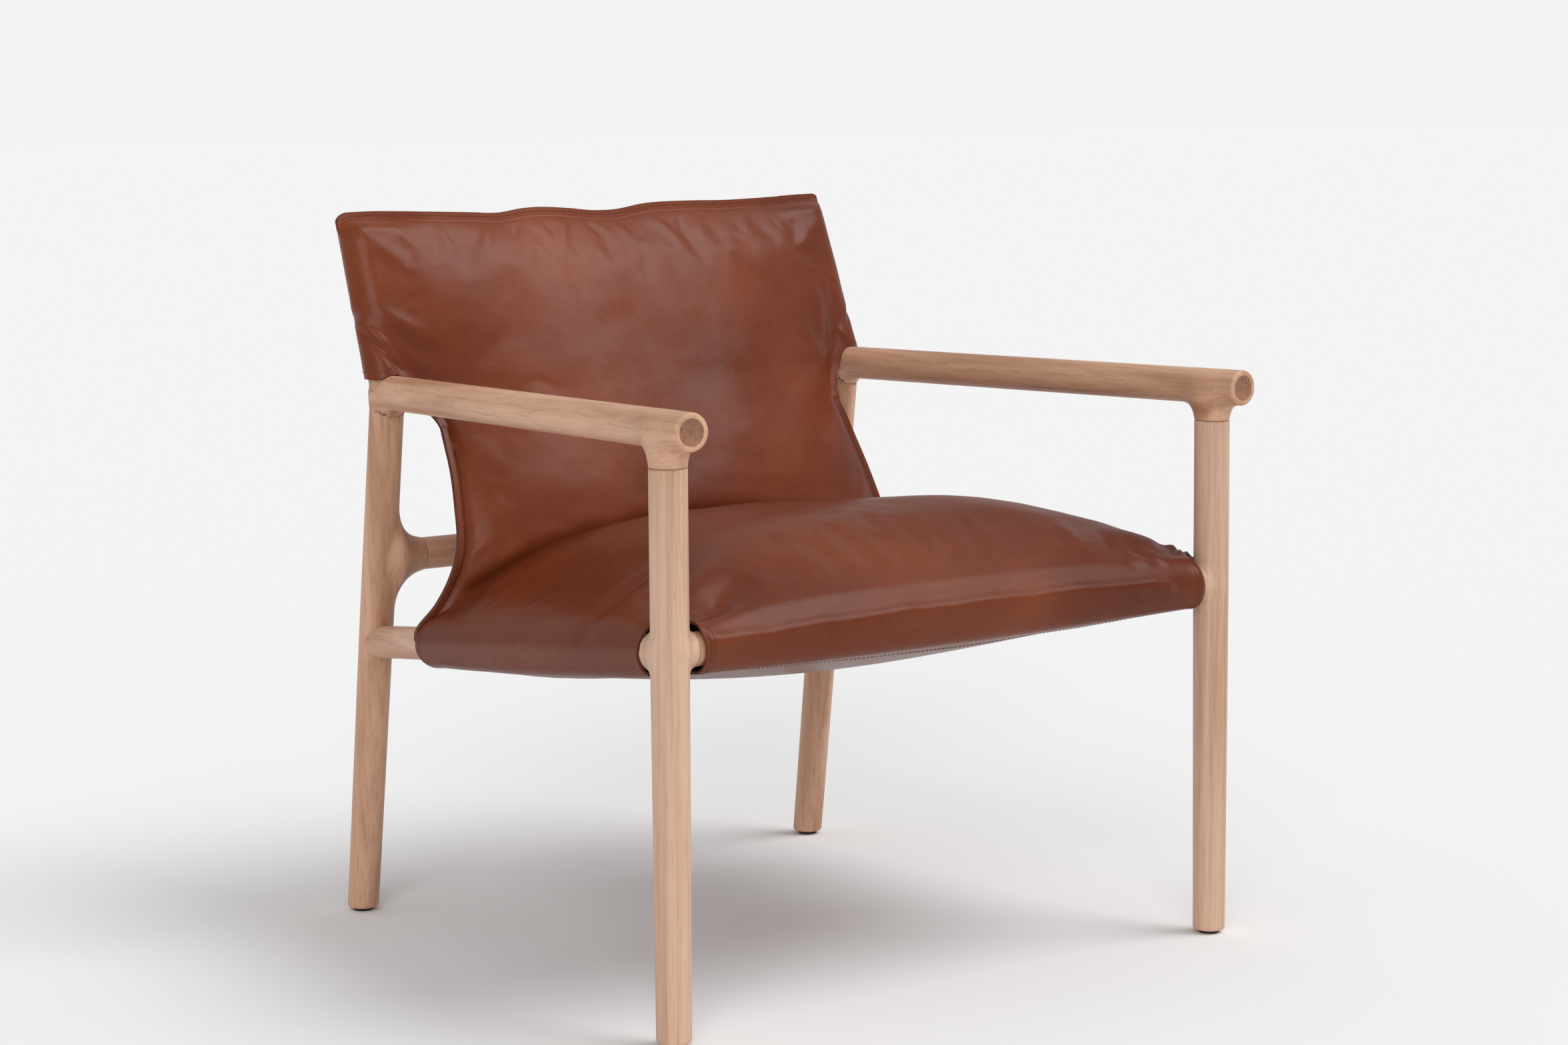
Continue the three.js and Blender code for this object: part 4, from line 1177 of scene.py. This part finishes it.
STITCH_PITCH = 5.2
STITCH_LENGTH = 3.5
THREAD_R = 0.42
THREAD_SIDES = 6
# Along a thread: the share of its length, and its lift and size as shares of its radius
THREAD_RINGS = ((0, -0.3, 0.55), (0.2, 0.25, 1), (0.5, 0.35, 1.05), (0.8, 0.25, 1), (1, -0.3, 0.55))
BEFORE_Y, BEHIND_Y = 200, 900
HEM_SEAM = 3.2
RAY_START = 60


def stitch_row(hide, starts, ways):
    """The ends of stitches along a line of points that are cast along their ways onto the hide."""
    ways = np.broadcast_to(np.asarray(ways, float), starts.shape)
    legs = np.linalg.norm(np.diff(starts, axis=0), axis=1)
    run = np.concatenate([[0], np.cumsum(legs)])
    half = STITCH_PITCH / 2
    found = []
    for at in np.arange(half, run[-1] - half, STITCH_PITCH):
        ends = []
        for s in (at - STITCH_LENGTH / 2, at + STITCH_LENGTH / 2):
            origin, aim = ([np.interp(s, run, p[:, i]) for i in range(3)] for p in (starts, ways))
            hit, normal, _, _ = hide.ray_cast(Vector(place(origin)), Vector(aim).normalized())
            if hit is not None:
                ends.append((hit, normal))
        if len(ends) == 2 and (ends[0][0] - ends[1][0]).length < 2 * STITCH_LENGTH * MM:
            found.append(ends)
    return found


def cast_row(hide, x, z, sense):
    """Stitches cast onto the hide from before it (sense 1) or from behind it (sense -1)."""
    y = BEFORE_Y if sense > 0 else BEHIND_Y
    return stitch_row(hide, spots(x, y, z), (0, sense, 0))


def stitch_piece(name, stitches):
    """All the stitches of a seam as one piece of short threads, sunk a little at their ends."""
    points, faces = [], []
    for (a, na), (b, nb) in stitches:
        way = (b - a).normalized()
        up = (na + nb).normalized()
        side = way.cross(up).normalized()
        start = len(points)
        for share, lift, size in THREAD_RINGS:
            centre = a.lerp(b, share) + up * (lift * THREAD_R * MM)
            reach = THREAD_R * size * MM
            for k in range(THREAD_SIDES):
                turn = 2 * math.pi * k / THREAD_SIDES
                points.append(centre + side * (math.cos(turn) * reach) + up * (math.sin(turn) * reach))
        last = start + (len(THREAD_RINGS) - 1) * THREAD_SIDES
        for ring in range(start, last, THREAD_SIDES):
            for k in range(THREAD_SIDES):
                p, q = ring + k, ring + (k + 1) % THREAD_SIDES
                faces.append((p, q, q + THREAD_SIDES, p + THREAD_SIDES))
        faces.append(tuple(start + k for k in reversed(range(THREAD_SIDES))))
        faces.append(tuple(last + k for k in range(THREAD_SIDES)))
    piece = new_object(name, points, faces, thread_material)
    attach(piece, "root")


def tree_of(piece):
    mesh = piece.data
    points = [v.co.copy() for v in mesh.vertices]
    return BVHTree.FromPolygons(points, [tuple(p.vertices) for p in mesh.polygons])


def back_stitches(front, rear):
    hide, behind = tree_of(front), tree_of(rear)
    x = np.linspace(-309, 309, 160)
    rows = cast_row(hide, x, hem_top(x) - HEM_SEAM, 1)
    rows += cast_row(behind, x, hem_top(x) - HEM_SEAM, -1)
    z = np.linspace(302, GUSSET_Z, 60)
    up = np.linspace(SLEEVE_HEM_Z, 736, 60)
    turn = np.linspace(np.pi / 2, -np.pi / 2, 40)
    for side in (1, -1):
        rows += cast_row(hide, side * np.array([303, 314]), np.array([740.5, 741]), 1)
        seam = side * (back_edge(z)[0] - FLANGE + 3)
        rows += cast_row(hide, seam, z, 1)
        rows += cast_row(behind, seam, z, -1)
        for inset in (3.5, 8):
            rows += cast_row(hide, side * (post_at(up)[0] - LAP + inset), up, -1)
        middle = spots(side * REAR_HALF, post_at(SLEEVE_HEM_Z)[1], sleeve_hem(turn) + 7)
        out = spots(side * np.cos(turn), -np.sin(turn), 0)
        rows += stitch_row(hide, middle + out * RAY_START, -out)
    stitch_piece("back_stitches", rows)


def seat_stitches(cover):
    hide = tree_of(cover)
    upwards = (0, 0, 1)
    y = np.linspace(UNDER_INSET + 6, SEAT_END_Y - 6, 120)
    rows = stitch_row(hide, spots(np.linspace(-300, 300, 120), UNDER_INSET - 4, 0), upwards)
    turn = np.linspace(np.pi * 0.62, np.pi * 1.42, 50)
    arc = np.linspace(np.pi * 0.45, -np.pi * 0.45, 40)
    for side in (1, -1):
        seam = side * (rail_half(y) - UNDER_INSET + 4)
        rows += stitch_row(hide, spots(seam, y, 0), upwards)
        for inset in (5, 9):
            centre = np.array([side * (FRONT_HALF - NOTCH_R - inset), 0, RAIL_FRONT[2]])
            out = spots(0, np.cos(turn), np.sin(turn))
            rows += stitch_row(hide, centre + out * 50, -out)
        end_y = SEAT_END_Y - 6
        centre = np.array([side * rail_half(end_y), end_y, rail_z(end_y)])
        out = spots(side * np.cos(arc), 0, np.sin(arc))
        rows += stitch_row(hide, centre + out * RAY_START, -out)
    stitch_piece("seat_stitches", rows)


def build_leather():
    crease = crease_line()
    lines = [(nose_line() + [0, 0.5, 1], 7.5, 4.4), (crease + [0, 3, 0], 9, -4.5)]
    lines += [(mouth_line(side), 4.5, 1.3) for side in (1, -1)]
    settle = (over_seat, 0.004, 5)
    shape = (*seat_mesh(), seat_shaded_material, seat_calm, seat_folds(), lines, settle)
    cover = hide_piece("seat_leather", *shape)
    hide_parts("seat_cover", "seat_pad")
    under = hide_piece("seat_underside_leather", *under_mesh(), under_material, under_calm)
    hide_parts("seat_underside")
    lines = [(crease + [0, 0, -1], 9, -4.5), (crease + [0, 0, 17], 11, 1.6)]
    settle = (before_back, 0.003, 4)
    shape = (*back_front_mesh(), hide_material, back_calm, back_folds(), lines, settle)
    front = hide_piece("back_leather", *shape)
    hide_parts("back_cover", "back_pad")
    rear = hide_piece("back_rear_leather", *back_rear_mesh(), hide_material, back_calm)
    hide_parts("back_rear_panel")
    back_stitches(front, rear)
    seat_stitches(cover)


build_leather()


# The camera and the light

FLOOR = 0.91
FLOOR_REACH = 60
WORLD_LIGHT = 0.5
BACKDROP = 0.896
# Each lamp: its name, where its light comes from, its angle and its strength
SUNS = (("key", (0.5, -0.45, 1.0), 36, 1.4), ("fill", (-0.8, -0.9, 0.65), 30, 0.8))
SENSOR = 36


def build_stage():
    floor_material, _, shader = new_material("floor")
    shader.inputs["Base Color"].default_value = (FLOOR, FLOOR, FLOOR, 1)
    shader.inputs["Roughness"].default_value = 1
    shader.inputs["Specular IOR Level"].default_value = 0
    corners = [(x * FLOOR_REACH, y * FLOOR_REACH, 0) for x, y in ((-1, -1), (1, -1), (1, 1), (-1, 1))]
    floor = new_object("floor", corners, [(0, 1, 2, 3)], floor_material, False)
    world = bpy.data.worlds.new("studio")
    bpy.context.scene.world = world
    world.use_nodes = True
    tree = world.node_tree
    light = tree.nodes["Background"]
    light.inputs["Color"].default_value = (WORLD_LIGHT, WORLD_LIGHT, WORLD_LIGHT, 1)
    seen = add_node(tree, "ShaderNodeBackground", {"Color": (BACKDROP, BACKDROP, BACKDROP, 1)})
    camera_ray = add_node(tree, "ShaderNodeLightPath").outputs["Is Camera Ray"]
    inputs = {0: camera_ray, 1: light.outputs[0], 2: seen.outputs[0]}
    choice = add_node(tree, "ShaderNodeMixShader", inputs).outputs[0]
    feed(tree, tree.nodes["World Output"], {"Surface": choice})
    for name, comes_from, angle, strength in SUNS:
        lamp = bpy.data.lights.new(name, "SUN")
        lamp.energy = strength
        lamp.angle = math.radians(angle)
        lamp_object = bpy.data.objects.new(name, lamp)
        bpy.context.scene.collection.objects.link(lamp_object)
        lamp_object.rotation_euler = Vector(comes_from).to_track_quat("Z", "Y").to_euler()


def build_camera():
    data = bpy.data.cameras.new("camera")
    camera = bpy.data.objects.new("camera", data)
    bpy.context.scene.collection.objects.link(camera)
    bpy.context.scene.camera = camera
    data.sensor_width = SENSOR
    data.lens = FOCAL_PIXELS / FRAME_WIDTH * SENSOR
    data.shift_y = CENTRE_DOWN_PIXELS / FRAME_WIDTH
    yaw = Matrix.Rotation(-CAMERA_YAW, 4, "Z")
    pitch = Matrix.Rotation(math.pi / 2 + CAMERA_PITCH, 4, "X")
    roll = Matrix.Rotation(CAMERA_ROLL, 4, "Z")
    spot = Matrix.Translation(place([CAMERA_X, CAMERA_Y, CAMERA_Z]))
    camera.matrix_world = spot @ yaw @ pitch @ roll


build_stage()
build_camera()
bpy.context.scene.view_settings.view_transform = "Standard"
